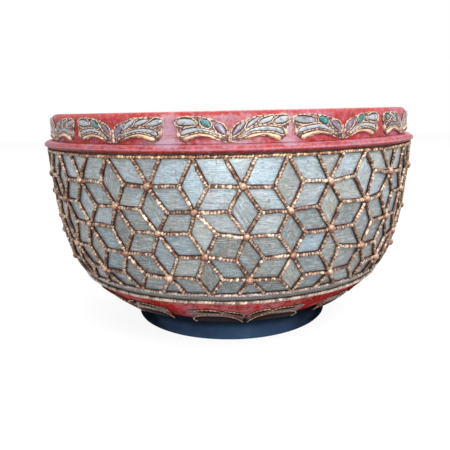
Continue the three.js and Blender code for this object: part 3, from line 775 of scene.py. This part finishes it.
# Leaf reliefs as in the photographed pairs, from the middle of the pair outwards and upwards
LEAF_LOW = ((1.0, 0.8), (7.2, 2.5), (12.4, 3.9), (18.4, 4.3), (23.6, 2.8), (27.6, 1.3), (30.8, 3.4))
LEAF_HIGH = ((1.0, 0.8), (0.8, 5.6), (3.0, 10.2), (7.6, 13.0), (13.0, 14.6), (18.5, 15.4), (25.0, 15.7),
             (30.3, 15.4), (33.4, 13.4), (31.8, 8.6), (30.8, 3.4))
CRESCENT = ((4.4, 3.2), (8.4, 4.7), (12.4, 6.2), (18.4, 6.9), (24.0, 6.0), (28.4, 4.6), (31.0, 5.8),
            (28.4, 8.7), (22.6, 10.1), (15.6, 9.8), (9.4, 7.3))
LIP = ((5.4, 2.9), (8.4, 3.9), (12.4, 5.3), (18.4, 6.0), (24.0, 5.1), (28.2, 3.9), (31.0, 3.4))
# Petals above the crescent, each from its base to its tip and back
POINTED_PETALS = (
    ((1.9, 4.0), (1.2, 7.4), (3.4, 10.8), (8.6, 12.8), (8.9, 9.4), (5.6, 6.2)),
    ((8.6, 8.2), (8.7, 11.4), (11.6, 13.9), (15.9, 15.3), (15.6, 12.2), (12.2, 9.6)),
    ((15.4, 10.9), (16.2, 13.5), (19.6, 15.2), (24.0, 15.2), (23.0, 12.2), (19.2, 10.8)),
    ((22.8, 11.2), (24.4, 13.9), (28.6, 15.4), (33.0, 14.4), (31.8, 11.2), (27.6, 10.0)),
)
STONE_PETALS = (
    ((1.8, 4.6), (1.2, 8.2), (3.8, 11.4), (8.6, 12.2), (9.2, 9.4), (5.6, 6.4)),
    ((19.4, 11.3), (20.0, 13.9), (24.0, 15.4), (29.4, 15.4), (32.8, 12.7), (30.4, 10.2), (25.0, 10.1)),
)
STONE = ((14.2, 12.0), (3.9, 2.7), 0.5)
KNOB = ((29.9, 6.6), (30.2, 4.8), (31.1, 4.0), (32.0, 5.4), (32.0, 7.4), (31.0, 8.0))
BUD = ((0, 0.2), (1.3, 1.6), (0.8, 4.6), (0.9, 7.4), (0, 9.4), (-0.9, 7.4), (-0.8, 4.6), (-1.3, 1.6))
# Reliefs of the lower band: a broad dark crescent along the neck with low petals above it
BASE_CRESCENT = ((1.4, 1.0), (7.0, 1.3), (13.0, 1.5), (19.0, 1.5), (25.0, 1.3), (30.6, 1.6), (32.6, 6.0),
                 (27.6, 10.4), (20.6, 12.0), (12.6, 11.2), (5.4, 7.4))
BASE_PETALS = (
    ((2.0, 7.4), (2.2, 11.4), (6.4, 14.6), (12.6, 15.4), (10.6, 12.4), (5.6, 9.6)),
    ((13.4, 13.2), (16.4, 15.6), (22.6, 16.2), (28.6, 14.6), (24.6, 12.9), (18.6, 13.2)),
)
# How far each hand-laid pair lies off its even place, and which leaves are longer or shorter
PAIR_STRAYS = (0.7, 0.3, -0.4, 0.6, -0.5, 0.2, 0.7, -0.3, 0.4, -0.6, 0.5, -1.3)
BASE_STRAYS = (-1.8, 0.4, -0.6, 0.7, -0.3, 0.5, -0.2)
LEAF_STRETCH = {(0, -1): 0.96, (0, 1): 1.07, (1, -1): 1.05, (11, 1): 1.08}
# Leaves, by pair and side, that have a stone among their petals
STONE_LEAVES = {(0, -1), (1, -1), (1, 1), (11, -1), (4, 1), (6, -1), (8, 1), (9, -1)}

PALE, LILAC, PURPLE, TEAL, DARK = range(5)
TINTS = ((0.43, 0.47, 0.5), (0.33, 0.32, 0.37), (0.2, 0.14, 0.21), (0.0, 0.2, 0.2),
         (0.014, 0.004, 0.003))
DARK_PAIRS = {2: (DARK, PURPLE, DARK, LILAC, DARK), 10: (LILAC, PURPLE, DARK, PURPLE, LILAC)}


def smooth(points, count, closed=False):
    """Points at equal steps along a smooth line through the given ones."""
    points = np.asarray(points, float)
    if closed:
        padded = np.concatenate([points[-1:], points, points[:2]])
    else:
        padded = np.concatenate([[2 * points[0] - points[1]], points, [2 * points[-1] - points[-2]]])
    t = np.linspace(0, 1, 9)[:-1, None]
    parts = []
    for a, b, c, d in zip(padded, padded[1:], padded[2:], padded[3:]):
        parts.append(0.5 * (2 * b + (c - a) * t + (2 * a - 5 * b + 4 * c - d) * t ** 2
                            + (3 * b - a - 3 * c + d) * t ** 3))
    fine = np.concatenate(parts + [padded[-2:-1]])
    far = distances(fine)
    at = np.linspace(0, far[-1], count)
    return np.stack([np.interp(at, far, fine[:, i]) for i in (0, 1)], -1)


def shrunk(loop, inset):
    """Closed line moved inwards."""
    ahead = unit(np.roll(loop, -1, 0) - np.roll(loop, 1, 0))
    inward = np.stack([-ahead[:, 1], ahead[:, 0]], -1)
    x, y = loop.T
    turns = np.sign((x * np.roll(y, -1) - y * np.roll(x, -1)).sum())
    return loop + inward * turns * inset


def shaken(points, amount=0.25):
    return np.asarray(points, float) + rng.normal(0, amount, (len(points), 2))


def ring_of(outline, shake=0.0):
    """Smooth closed line through the given points, or near them if it is shaken."""
    return smooth(shaken(outline, shake) if shake else outline, 2 * HALF_RING + 1, closed=True)


class Leaf:
    """One relief, laid on a surface from flat curves, with its cords and its glass in a sheet each."""

    def __init__(self, sheets, surface, radius, middle, side, low, scale):
        self.cords, self.glass = sheets
        self.surface, self.middle, self.low = surface, middle, low
        self.across, self.rise = side * scale[0] / radius, scale[1]

    def path(self, flat):
        """Angles and distances on the surface of flat points."""
        return self.middle + self.across * flat[..., 0], self.low + self.rise * flat[..., 1]

    def cord(self, flat, radius, lift, **looks):
        rope(self.cords, self.surface, *self.path(flat), lift, radius, **looks)

    def pad(self, sheet, one, other, height, crown, base=-0.3, lean=0.0, **values):
        """Domed shell between two lines of equal count, which run the same way.

        With a lean it stands higher along the first of them.
        """
        count, across = len(one), len(PAD_STEPS) + 2
        ease = np.clip(to_end(count) / 1.5, 0.35, 1)[:, None]
        height = (height + lean * (1 - PAD_STEPS)) * (PAD_RISE * ease) + crown * (PAD_RISE > 0.9) * ease
        flat = one[:, None] + (other - one)[:, None] * PAD_STEPS[:, None]
        top = self.surface(*self.path(flat), height)
        low = self.surface(*self.path(flat[:, [-1, 0]]), base)
        # Share inside the edge across a piece; the glass paint puts painted shade where it is low
        inwards = np.append(np.minimum(PAD_STEPS, 1 - PAD_STEPS) * 5, [0, 0]).clip(0, 1)
        values["inside"] = np.tile(inwards, count)
        sheet.add(np.concatenate([top, low], 1), tube(count, across), **values)

    def dome(self, sheet, ring, height, crown, **looks):
        """Domed shell within a closed line, which runs from one tip to the other and back."""
        self.pad(sheet, ring[1:HALF_RING], ring[:HALF_RING:-1], height, crown, **looks)

    def cell(self, outline, tint, radius=0.35, inset=0.25, height=CELL_HEIGHT, tone=0.95, lean=0.0,
             part=slice(None), shake=0.25):
        """Piece of glass with a ring of cord round it, or along the given part of its points."""
        ring = ring_of(outline, shake)
        self.dome(self.glass, shrunk(ring[:-1], inset), height, 0.3, lean=lean, tint=TINTS[tint],
                  tone=rng.uniform(0, 1))
        lows, highs = ring[:, 1].min(), ring[:, 1].max()
        lift = 0.85 + lean * (highs - ring[:, 1]) / (highs - lows)
        self.cord(ring[part], radius, lift[part], pitch=2.8, notch=0.06, wild=0.4, tone=tone,
                  closed=part == slice(None))

    def ground(self, tone=0.5, lean=0.0, edge=slice(60)):
        """Low putty that the relief is laid on, with a cord along part of its upper edge."""
        low, high = smooth(LEAF_LOW, 40), smooth(LEAF_HIGH, 40)
        low[-1] = high[-1]
        self.pad(self.cords, low, high, GROUND_HEIGHT, 0.1, base=-0.4, lean=lean, relief=0.3, tone=tone)
        self.cord(smooth(LEAF_HIGH, 60)[edge], GROUND_CORD_RADIUS, 0.45, pitch=3.4, notch=0.08, wild=0.6,
                  tone=0.6)


def oval(centre, half, lean, count=8):
    theta = np.arange(count) * TURN / count + math.pi
    flat = np.stack([half[0] * np.cos(theta), half[1] * np.sin(theta)], -1)
    return flat @ np.array([[math.cos(lean), math.sin(lean)], [-math.sin(lean), math.cos(lean)]]) + centre


def rim_relief(leaf, tints, stone):
    """Crescent with petals above it, or with a stone among them, and a thick edge below."""
    leaf.ground()
    for outline, tint in zip((CRESCENT, *(STONE_PETALS if stone else POINTED_PETALS)), tints):
        leaf.cell(outline, tint)
    if stone:
        leaf.cell(oval(*STONE), TEAL, inset=0.2, height=STONE_HEIGHT, shake=0.1)
    leaf.dome(leaf.cords, ring_of(KNOB, 0.15)[:-1], KNOB_HEIGHT, 0.4, relief=0.8, tone=0.8)
    low, high = smooth(shaken(LEAF_LOW[1:-1], 0.3), 24), smooth(shaken(LIP[1:-1], 0.15), 24)
    leaf.pad(leaf.cords, low, high, LIP_HEIGHT, 0.5, relief=1.0, tone=0.9)
    leaf.cord(smooth(LEAF_LOW[:-1], 30), LIP_CORD_RADIUS, 0.5, pitch=4.0, notch=0.05, wild=0.8, tone=0.2)


def base_relief(leaf):
    """Dark crescent that leans out over the neck, with petals above it."""
    leaf.ground(tone=0.1, lean=1.2, edge=slice(44, 60))
    leaf.cell(BASE_CRESCENT, DARK, radius=0.5, inset=0.6, tone=0.9, lean=2.2, part=slice(17, 41))
    for outline in BASE_PETALS:
        leaf.cell(outline, DARK, radius=0.45, inset=0.3, tone=0.9, part=slice(22))


def rim_tints(pair):
    """Glass of one rim leaf: its crescent, then its petals from the middle of the pair outwards."""
    if pair in DARK_PAIRS:
        return DARK_PAIRS[pair]
    return PALE, (LILAC, PURPLE)[rng.integers(2)], (PALE, LILAC, PALE)[rng.integers(3)], PALE, PALE


def leaves(name, pairs):
    """Pair and side of each leaf in order, and the names of their nodes."""
    return product(range(pairs), (-1, 1)), [f"{name}_leaf_{index + 1:02d}" for index in range(2 * pairs)]


def rim_reliefs():
    sheets = Sheet(), Sheet()
    places, names = leaves("rim", RIM_LEAF_PAIRS)
    for pair, side in places:
        middle = TURN * pair / RIM_LEAF_PAIRS + PAIR_STRAYS[pair] / RIM_RADIUS
        stretch = LEAF_STRETCH.get((pair, side), 1.0)
        leaf = Leaf(sheets, on_rim, RIM_RADIUS, middle, side, 0.0, (stretch, 1.0))
        rim_relief(leaf, rim_tints(pair), (pair, side) in STONE_LEAVES)
        if side > 0:
            leaf.dome(leaf.cords, ring_of(BUD)[:-1], BUD_HEIGHT, 0.2, relief=0.75, tone=0.4)
    sheets[0].piece("rim_relief_cords", leaf_gilt, "gilt_putty", *names)
    sheets[1].piece("rim_relief_glass", relief_glass, "silvered_glass")


def base_reliefs():
    sheets = Sheet(), Sheet()
    seat = BELLY.under(1 - BASE_LEAF_MIDDLE / BELLY.length, BAND_DEPTH)[0]
    low = BELLY.length - BASE_LEAF_MARGIN
    places, names = leaves("base", BASE_LEAF_PAIRS)
    for pair, side in places:
        middle = BASE_LEAF_TURN + TURN * pair / BASE_LEAF_PAIRS + BASE_STRAYS[pair] / seat
        base_relief(Leaf(sheets, on_belly, seat, middle, side, low, BASE_LEAF_SCALE))
    sheets[0].piece("base_relief_cords", bronze, "dark_relief", *names)
    sheets[1].piece("base_relief_glass", dark_glass, "dark_relief")


# Materials: a vector read as one number is the mean of its axes
AXES = 3
# Distance along the foot's profile that the painted shade at its neck is measured against
FOOT_PROFILE = 40


def colour(*written):
    """Linear colour of one that is written in parts of 255."""
    shares = np.array(written) / 255
    return (*np.where(shares > 0.04, ((shares + 0.055) / 1.055) ** 2.4, shares / 12.92).tolist(), 1.0)


def fill(tree, node, inputs):
    """Sets inputs of a node to values, or links them to the outputs of others."""
    for key, value in inputs.items():
        if isinstance(value, bpy.types.NodeSocket):
            tree.links.new(value, node.inputs[key])
        else:
            node.inputs[key].default_value = value


def add_node(tree, kind, inputs, **settings):
    node = tree.nodes.new("ShaderNode" + kind)
    for key, value in settings.items():
        setattr(node, key, value)
    fill(tree, node, inputs)
    return node


class Paint:
    """Adds the nodes of one material, which lay tints over its base colour."""

    def __init__(self, name, base=(0, 0, 0), **inputs):
        self.material = bpy.data.materials.new(name)
        self.material.use_nodes = True
        self.tree = self.material.node_tree
        self.surface = self.tree.nodes["Principled BSDF"]
        fill(self.tree, self.surface, {key.replace("_", " "): value for key, value in inputs.items()})
        self.place = self.node("TexCoord", {}).outputs["Object"]
        self.base = colour(*base)

    def node(self, kind, inputs, **settings):
        return add_node(self.tree, kind, inputs, **settings)

    def value(self, name, output="Fac"):
        """Value kept with the mesh."""
        return self.node("Attribute", {}, attribute_name=name).outputs[output]

    def lay(self, scale):
        """Place along and across the piece, stretched along each of its axes."""
        return self.node("VectorMath", {0: self.value("lay", "Vector"), 1: scale},
                         operation="MULTIPLY").outputs["Vector"]

    def noise(self, scale, detail=4.0, roughness=0.6, where=None):
        return self.node("TexNoise", {"Vector": where or self.place, "Scale": scale, "Detail": detail,
                                      "Roughness": roughness}).outputs["Fac"]

    def streaks(self, scale, detail, roughness=0.6):
        """Noise along and across the piece."""
        return self.noise(1, detail, roughness, self.lay(scale))

    def maths(self, operation, a, b=0.0, clamp=False):
        return self.node("Math", {0: a, 1: b}, operation=operation, use_clamp=clamp).outputs["Value"]

    def total(self, *parts, start=0.0):
        """Sum of values, each times its weight."""
        for value, weight in parts:
            part = self.node("Math", {0: value, 1: weight, 2: start}, operation="MULTIPLY_ADD")
            start = part.outputs[0]
        return start

    def near_middle(self, noise):
        """How far a noise is from its middle, which is small along thin lines."""
        return self.maths("ABSOLUTE", self.maths("SUBTRACT", noise, 0.5))

    def ramp(self, factor, *stops):
        node = self.node("ValToRGB", {"Fac": factor})
        marks = node.color_ramp.elements
        while len(marks) < len(stops):
            marks.new(0.5)
        for mark, (position, tint) in zip(marks, stops):
            mark.position = position
            mark.color = colour(*tint) if isinstance(tint, tuple) else (tint, tint, tint, 1)
        return node.outputs["Color"]

    def wash(self, tint, factor, none=None, full=None, strength=1.0):
        """Lays a tint over the base by a factor, or by its way from the mark of none to that of full."""
        if full is not None:
            factor = self.ramp(factor, *sorted([(none, 0.0), (full, strength)]))
        mixed = self.node("Mix", {0: factor, 6: self.base, 7: colour(*tint)}, data_type="RGBA")
        self.base = mixed.outputs[2]

    def finish(self, height, distance, source, *stops):
        """The material, with bumps from one noise and its roughness from a ramp of another."""
        bump = self.node("Bump", {"Height": height, "Distance": distance * MM, "Strength": 1.0})
        fill(self.tree, self.surface, {"Base Color": self.base, "Roughness": self.ramp(source, *stops),
                                       "Normal": bump.outputs["Normal"]})
        return self.material


def lacquer_red(name, bloom, stains, red, pink, pale=(186, 152, 160), gloss=0.4, grain=1.0):
    """Cinnabar lacquer with a pale bloom that is partly painted sheen, greyed midway between the leaf
    pairs, and dark scuffs.
    """
    paint = Paint(name, red, Coat_Weight=0.2 * gloss, Coat_Roughness=0.3, Specular_IOR_Level=gloss)
    patches = paint.noise(140, 6, 0.75)
    grit = paint.noise(420, 5, 0.8)
    streak = paint.streaks((0.05, 1.3, 0), 4)
    paint.wash((190, 54, 46), paint.noise(90), 0.35, 0.7, 1.0)
    # Pink haze: partly bloom, partly painted sheen
    haze = paint.total((paint.noise(34, 6, 0.68), 1), (patches, 0.5))
    haze = paint.ramp(haze, (0.76 - bloom, 0.0), (0.96 - bloom, 0.9))
    paint.wash(pink, paint.maths("MULTIPLY", haze, paint.value("bloom"), clamp=True))
    paint.wash((196, 158, 172), grit, 0.5, 0.68, 0.5 * grain)
    paint.wash((124, 34, 40), grit, 0.47, 0.3, 0.6 * grain)
    # Pale grey places between the leaf pairs: partly bloom, partly painted sheen
    apart = paint.total((paint.value("apart"), 0.5), (patches, 0.5), (grit, 0.3))
    paint.wash(pale, apart, 0.66, 0.98, 0.85)
    paint.wash((104, 44, 54), paint.noise(170, 7, 0.75), 0.58 - stains, 0.68 - stains, 0.8)
    paint.wash((132, 32, 38), streak, 0.54, 0.76, 0.5)
    # Painted highlight: a pale line along the ridge's crests
    wear_and_painted_light = paint.total((paint.value("off_crest"), 0.5), (patches, 0.5))
    paint.wash((200, 150, 166), wear_and_painted_light, 0.65, 0.3, 0.55)
    return paint.finish(paint.maths("ADD", grit, streak), 0.22 * grain,
                        paint.noise(200), (0.3, 0.35), (0.7, 0.6))


def glass_paint(name, light, shade):
    """Silvered glass: streaks along each piece, pale and dirty patches, hair cracks across some, and
    painted shade towards the lower rows and next to the cords.

    A piece that keeps no tone and no edge with its mesh has 0 for them.
    """
    paint = Paint(name, light, Metallic=0.3, Coat_Weight=0.1, Coat_Roughness=0.15)
    broad = paint.streaks((0.08, 0.4, 1), 5)
    fine = paint.streaks((0.14, 1.9, 1), 5, 0.7)
    blotch = paint.streaks((0.13, 0.2, 1), 5)
    hue = paint.streaks((0.2, 0.3, 1.7), 3)
    fleck = paint.streaks((0.5, 0.9, 1), 3)
    cast = paint.streaks((0, 0, 3.1), 1)
    mottle = paint.streaks((0.45, 0.6, 1), 6, 0.8)
    line = paint.near_middle(paint.streaks((0.1, 0.8, 1), 3))
    crack = paint.near_middle(paint.streaks((0.26, 0.04, 1), 1))
    # Darker with the tone, which carries painted shade towards the lower rows
    depth = paint.total((paint.value("tone"), 0.75), (broad, 0.9))
    paint.wash(shade, paint.maths("SUBTRACT", depth, 0.4, clamp=True))
    for factor, tint, *marks in (
            (hue, (200, 182, 184), 0.5, 0.7, 0.45),
            (hue, (150, 192, 212), 0.48, 0.3, 0.5),
            (fleck, (204, 160, 158), 0.56, 0.72, 0.4),
            (fleck, (120, 160, 158), 0.42, 0.28, 0.4),
            (blotch, (136, 134, 112), 0.5, 0.7, 0.7),
            (cast, (190, 184, 156), 0.52, 0.64, 0.42),
            (cast, (144, 182, 204), 0.48, 0.36, 0.42),
            (mottle, (126, 136, 134), 0.48, 0.3, 0.6),
            (mottle, (222, 228, 232), 0.52, 0.7, 0.6),
            (line, (104, 112, 112), 0.03, 0.008, 0.65),
            (fine, (100, 108, 108), 0.44, 0.28, 0.7),
            (fine, (232, 240, 246), 0.52, 0.7, 0.75)):
        paint.wash(tint, factor, *marks)
    some = paint.maths("GREATER_THAN", hue, 0.53)
    crack = paint.ramp(crack, (0.006, 0.7), (0.016, 0.0))
    paint.wash((92, 98, 100), paint.maths("MULTIPLY", crack, some))
    # Painted shade along the edges of each piece, next to the cords, with some grime
    edge = paint.total((paint.value("edge"), 1), (blotch, 0.6))
    paint.wash((104, 96, 96), edge, 0.6, 0.2, 0.6)
    return paint.finish(paint.maths("ADD", broad, fine), 0.15, broad, (0.3, 0.22), (0.7, 0.45))


def gilt_paint(name, stops, plum=0.5, rough=1.5):
    """Rubbed gilding with plum lacquer showing through: gold on the crests, brown in the hollows, partly
    painted highlight and shade.
    """
    paint = Paint(name, Metallic=0.3)
    grain = paint.noise(820, 3)
    wear_and_painted_light = paint.noise(150, 5, 0.7)
    # The relief carries painted highlight and painted shade besides the rubbing of the gilding
    height = paint.total((paint.value("relief"), 0.8), (grain, rough), (wear_and_painted_light, -0.6),
                         (paint.value("tone"), 0.35), start=-0.5 * rough)
    paint.base = paint.ramp(height, *stops)
    paint.wash((126, 80, 80), paint.noise(330, 3), 0.5, 0.64, plum)
    return paint.finish(grain, 0.2, wear_and_painted_light, (0.35, 0.32), (0.65, 0.55))


def black_lacquer(name, turned_round):
    """Black lacquer, dusty blue bloom; on the foot it lies to the front and back as painted light, leaving
    painted shade at the sides.
    """
    paint = Paint(name, (24, 29, 40), Specular_IOR_Level=0.0)
    wear_and_painted_light = paint.noise(30, 5, 0.7)
    if turned_round:
        # Painted light: the bloom is brighter to the front and back of the foot, the sides are left as
        # painted shade
        sides = paint.maths("COSINE", paint.lay((2 * AXES / FOOT_RADIUS, 0, 0)))
        wear_and_painted_light = paint.total((sides, 0.38), (wear_and_painted_light, 1))
    wear_and_painted_light = paint.ramp(wear_and_painted_light, (0.32, 0.0), (0.85, 1.0))
    paint.wash((62, 86, 118), wear_and_painted_light)
    dust = paint.ramp(paint.noise(48, 6, 0.7), (0.5, 0.0), (0.78, 0.5))
    paint.wash((88, 114, 146), paint.maths("MULTIPLY", dust, wear_and_painted_light))
    if turned_round:
        # Painted shade on the upper part of the foot's cove, under the overhanging band
        paint.wash((20, 23, 30), paint.lay((0, AXES / FOOT_PROFILE, 0)), 0.36, 0.5, 0.75)
    paint.wash((110, 128, 146), paint.noise(600, 2), 0.68, 0.76, 0.4)
    return paint.finish(paint.noise(300), 0.12, paint.noise(120), (0.35, 0.4), (0.7, 0.6))


def putty_paint():
    paint = Paint("mosaic_putty")
    paint.base = paint.ramp(paint.noise(500), (0.35, (84, 58, 60)), (0.7, (138, 108, 100)))
    return paint.finish(paint.noise(900), 0.2, paint.noise(200), (0.3, 0.6), (0.7, 0.85))


def relief_glass_paint(name, streaks, spots, gloss=0.5, rough=0.15):
    """Small glass of the reliefs, in the tint kept with each piece, with painted shade round its edges."""
    paint = Paint(name, Coat_Weight=0.3 * gloss, Coat_Roughness=0.1, Specular_IOR_Level=gloss)
    paint.base = paint.value("tint", "Color")
    streak = paint.noise(330, 5)
    paint.wash((206, 212, 218), streak, 0.45, 0.72, streaks)
    paint.wash((86, 66, 70), paint.noise(380, 5, 0.7), 0.5, 0.62, spots)
    # Painted shade: a dark rim round each piece of glass, in the recess under its cord
    paint.wash((26, 15, 17), paint.value("inside"), 1.0, 0.5, 0.97)
    return paint.finish(streak, 0.15, streak, (0.3, rough), (0.7, rough + 0.2))


def bamboo_paint():
    paint = Paint("bamboo")
    coil = paint.node("Mapping", {"Vector": paint.place, "Scale": (8, 8, 600)}).outputs["Vector"]
    fibre = paint.noise(1, 5, where=coil)
    paint.base = paint.ramp(fibre, (0.3, (120, 86, 46)), (0.7, (196, 162, 104)))
    return paint.finish(fibre, 0.3, fibre, (0.3, 0.55), (0.7, 0.75))


cinnabar = lacquer_red("cinnabar_rim", 0.0, 0.0, (154, 52, 48), (171, 100, 124), (191, 168, 182),
                       gloss=0.2)
cinnabar_ridge = lacquer_red("cinnabar_ridge", 0.05, 0.0, (138, 40, 40), (168, 120, 140), (178, 148, 166),
                             gloss=0.25, grain=1.3)
cinnabar_low = lacquer_red("cinnabar_band", 0.07, 0.05, (250, 36, 16), (250, 152, 152), (236, 150, 162),
                           gloss=0.0)
cinnabar_inside = lacquer_red("cinnabar_inside", -0.12, -0.02, (140, 24, 20), (160, 72, 74), grain=0.35)
glass = glass_paint("silvered_glass", (182, 197, 205), (94, 100, 94))
strip_glass = glass_paint("strip_glass", (128, 136, 126), (92, 100, 92))
gilt = gilt_paint("gilt_putty", (
    (0.0, (60, 36, 26)), (0.28, (110, 80, 60)), (0.5, (162, 133, 108)), (0.72, (206, 182, 158)),
    (0.95, (236, 222, 204))), rough=1.8)
leaf_gilt = gilt_paint("leaf_gilt", (
    (0.0, (66, 44, 42)), (0.4, (156, 126, 116)), (0.72, (226, 200, 180)), (1.0, (238, 200, 144))),
    plum=0.45, rough=1.8)
border_gilt = gilt_paint("border_gilt", (
    (0.0, (70, 46, 38)), (0.35, (120, 84, 64)), (0.6, (186, 144, 104)), (0.9, (244, 220, 180))), plum=0.25)
faded_gilt = gilt_paint("faded_gilt", (
    (0.0, (84, 72, 66)), (0.35, (140, 122, 112)), (0.7, (214, 196, 184))))
stud_gilt = gilt_paint("stud_gilt", (
    (0.06, (64, 32, 22)), (0.32, (118, 74, 56)), (0.5, (160, 120, 98)), (0.7, (216, 188, 166))),
    plum=0.2, rough=0.6)
bronze = gilt_paint("bronze_putty", (
    (0.0, (66, 24, 20)), (0.3, (100, 52, 42)), (0.55, (176, 126, 88)), (0.9, (236, 204, 156))),
    plum=0.3, rough=0.7)
pale_gilt = gilt_paint("pale_gilt_putty", (
    (0.0, (86, 70, 66)), (0.3, (150, 130, 116)), (0.7, (222, 204, 182))), plum=0.3)
black = black_lacquer("black_lacquer", True)
black_panel = black_lacquer("black_panel", False)
putty = putty_paint()
relief_glass = relief_glass_paint("relief_glass", 0.5, 0.6)
dark_glass = relief_glass_paint("dark_relief_glass", 0.02, 0.0, gloss=0.02, rough=0.5)
bamboo = bamboo_paint()


# Camera, light and floor

def camera():
    data = bpy.data.cameras.new("camera")
    data.sensor_width = 36
    data.lens = CAMERA_LENS
    made = placed("camera", data)
    made.matrix_world = (Matrix.Translation(CAMERA_PLACE) @ Matrix.Rotation(CAMERA_YAW, 4, "Z")
                         @ Matrix.Rotation(math.pi / 2 - CAMERA_PITCH, 4, "X")
                         @ Matrix.Rotation(CAMERA_ROLL, 4, "Z"))
    bpy.context.scene.camera = made


def lamp(name, place, size, power):
    """Square soft lamp that faces the bowl."""
    data = bpy.data.lights.new(name, "AREA")
    data.size, data.energy = size, power
    aim = (Vector(place) - Vector(LAMP_AIM)).to_track_quat("Z", "Y")
    placed(name, data).matrix_world = Matrix.Translation(place) @ aim.to_matrix().to_4x4()


def seen(tree):
    """Whether a ray is one that should find the white background."""
    path = add_node(tree, "LightPath", {})
    total = path.outputs["Is Camera Ray"]
    for key in ("Is Glossy Ray", "Is Transmission Ray"):
        total = add_node(tree, "Math", {0: total, 1: path.outputs[key]}, operation="MAXIMUM").outputs[0]
    return total


def surroundings():
    """White background, which lights the bowl as a dim sky that is darker near the horizon."""
    world = bpy.data.worlds.new("world")
    world.use_nodes = True
    bpy.context.scene.world = world
    tree = world.node_tree
    place = add_node(tree, "TexCoord", {}).outputs["Generated"]
    height = add_node(tree, "SeparateXYZ", {0: place}).outputs["Z"]
    sky = add_node(tree, "MapRange", {"Value": height, "From Max": HORIZON_HEIGHT, "To Min": HORIZON_LIGHT,
                                      "To Max": WORLD_LIGHT}).outputs["Result"]
    strength = add_node(tree, "Mix", {0: seen(tree), 2: sky, 3: 1.0}).outputs[0]
    fill(tree, tree.nodes["Background"], {"Color": (1, 1, 1, 1), "Strength": strength})


def floor_paint():
    """White with a faint shadow where it is seen, and a dim grey in the light that it gives back."""
    paint = bpy.data.materials.new("floor")
    paint.use_nodes = True
    tree = paint.node_tree
    tree.nodes.remove(tree.nodes["Principled BSDF"])
    faint, plain = (add_node(tree, "BsdfDiffuse", {"Color": (share, share, share, 1)}).outputs[0]
                    for share in (FLOOR_SHADOW, FLOOR_BOUNCE))
    glow = add_node(tree, "Emission", {"Strength": FLOOR_GLOW}).outputs[0]
    white = add_node(tree, "AddShader", {0: glow, 1: faint}).outputs[0]
    either = add_node(tree, "MixShader", {0: seen(tree), 1: plain, 2: white}).outputs[0]
    fill(tree, tree.nodes["Material Output"], {"Surface": either})
    return paint


def floor():
    mesh = bpy.data.meshes.new("floor")
    corners = ((-1, -1), (1, -1), (1, 1), (-1, 1))
    mesh.from_pydata([(x * FLOOR_HALF, y * FLOOR_HALF, 0) for x, y in corners], [], [(0, 1, 2, 3)])
    mesh.materials.append(floor_paint())
    made = placed("floor", mesh)
    made.location.z = -FLOOR_DROP


def bamboo_core():
    """The solids of the core keep their shapes and get their material."""
    for node in ("bamboo_wall", "bamboo_base"):
        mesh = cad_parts[node].data
        mesh.materials.clear()
        mesh.materials.append(bamboo)


camera()
surroundings()
floor()
for values in LAMPS:
    lamp(*values)
bpy.context.scene.view_settings.view_transform = "Standard"

for build in (bamboo_core, rim_band, ridge, lining, lower_band, glass_strip, foot, base_coat, mosaic,
              cord_net, border_cords, rim_reliefs, base_reliefs):
    build()
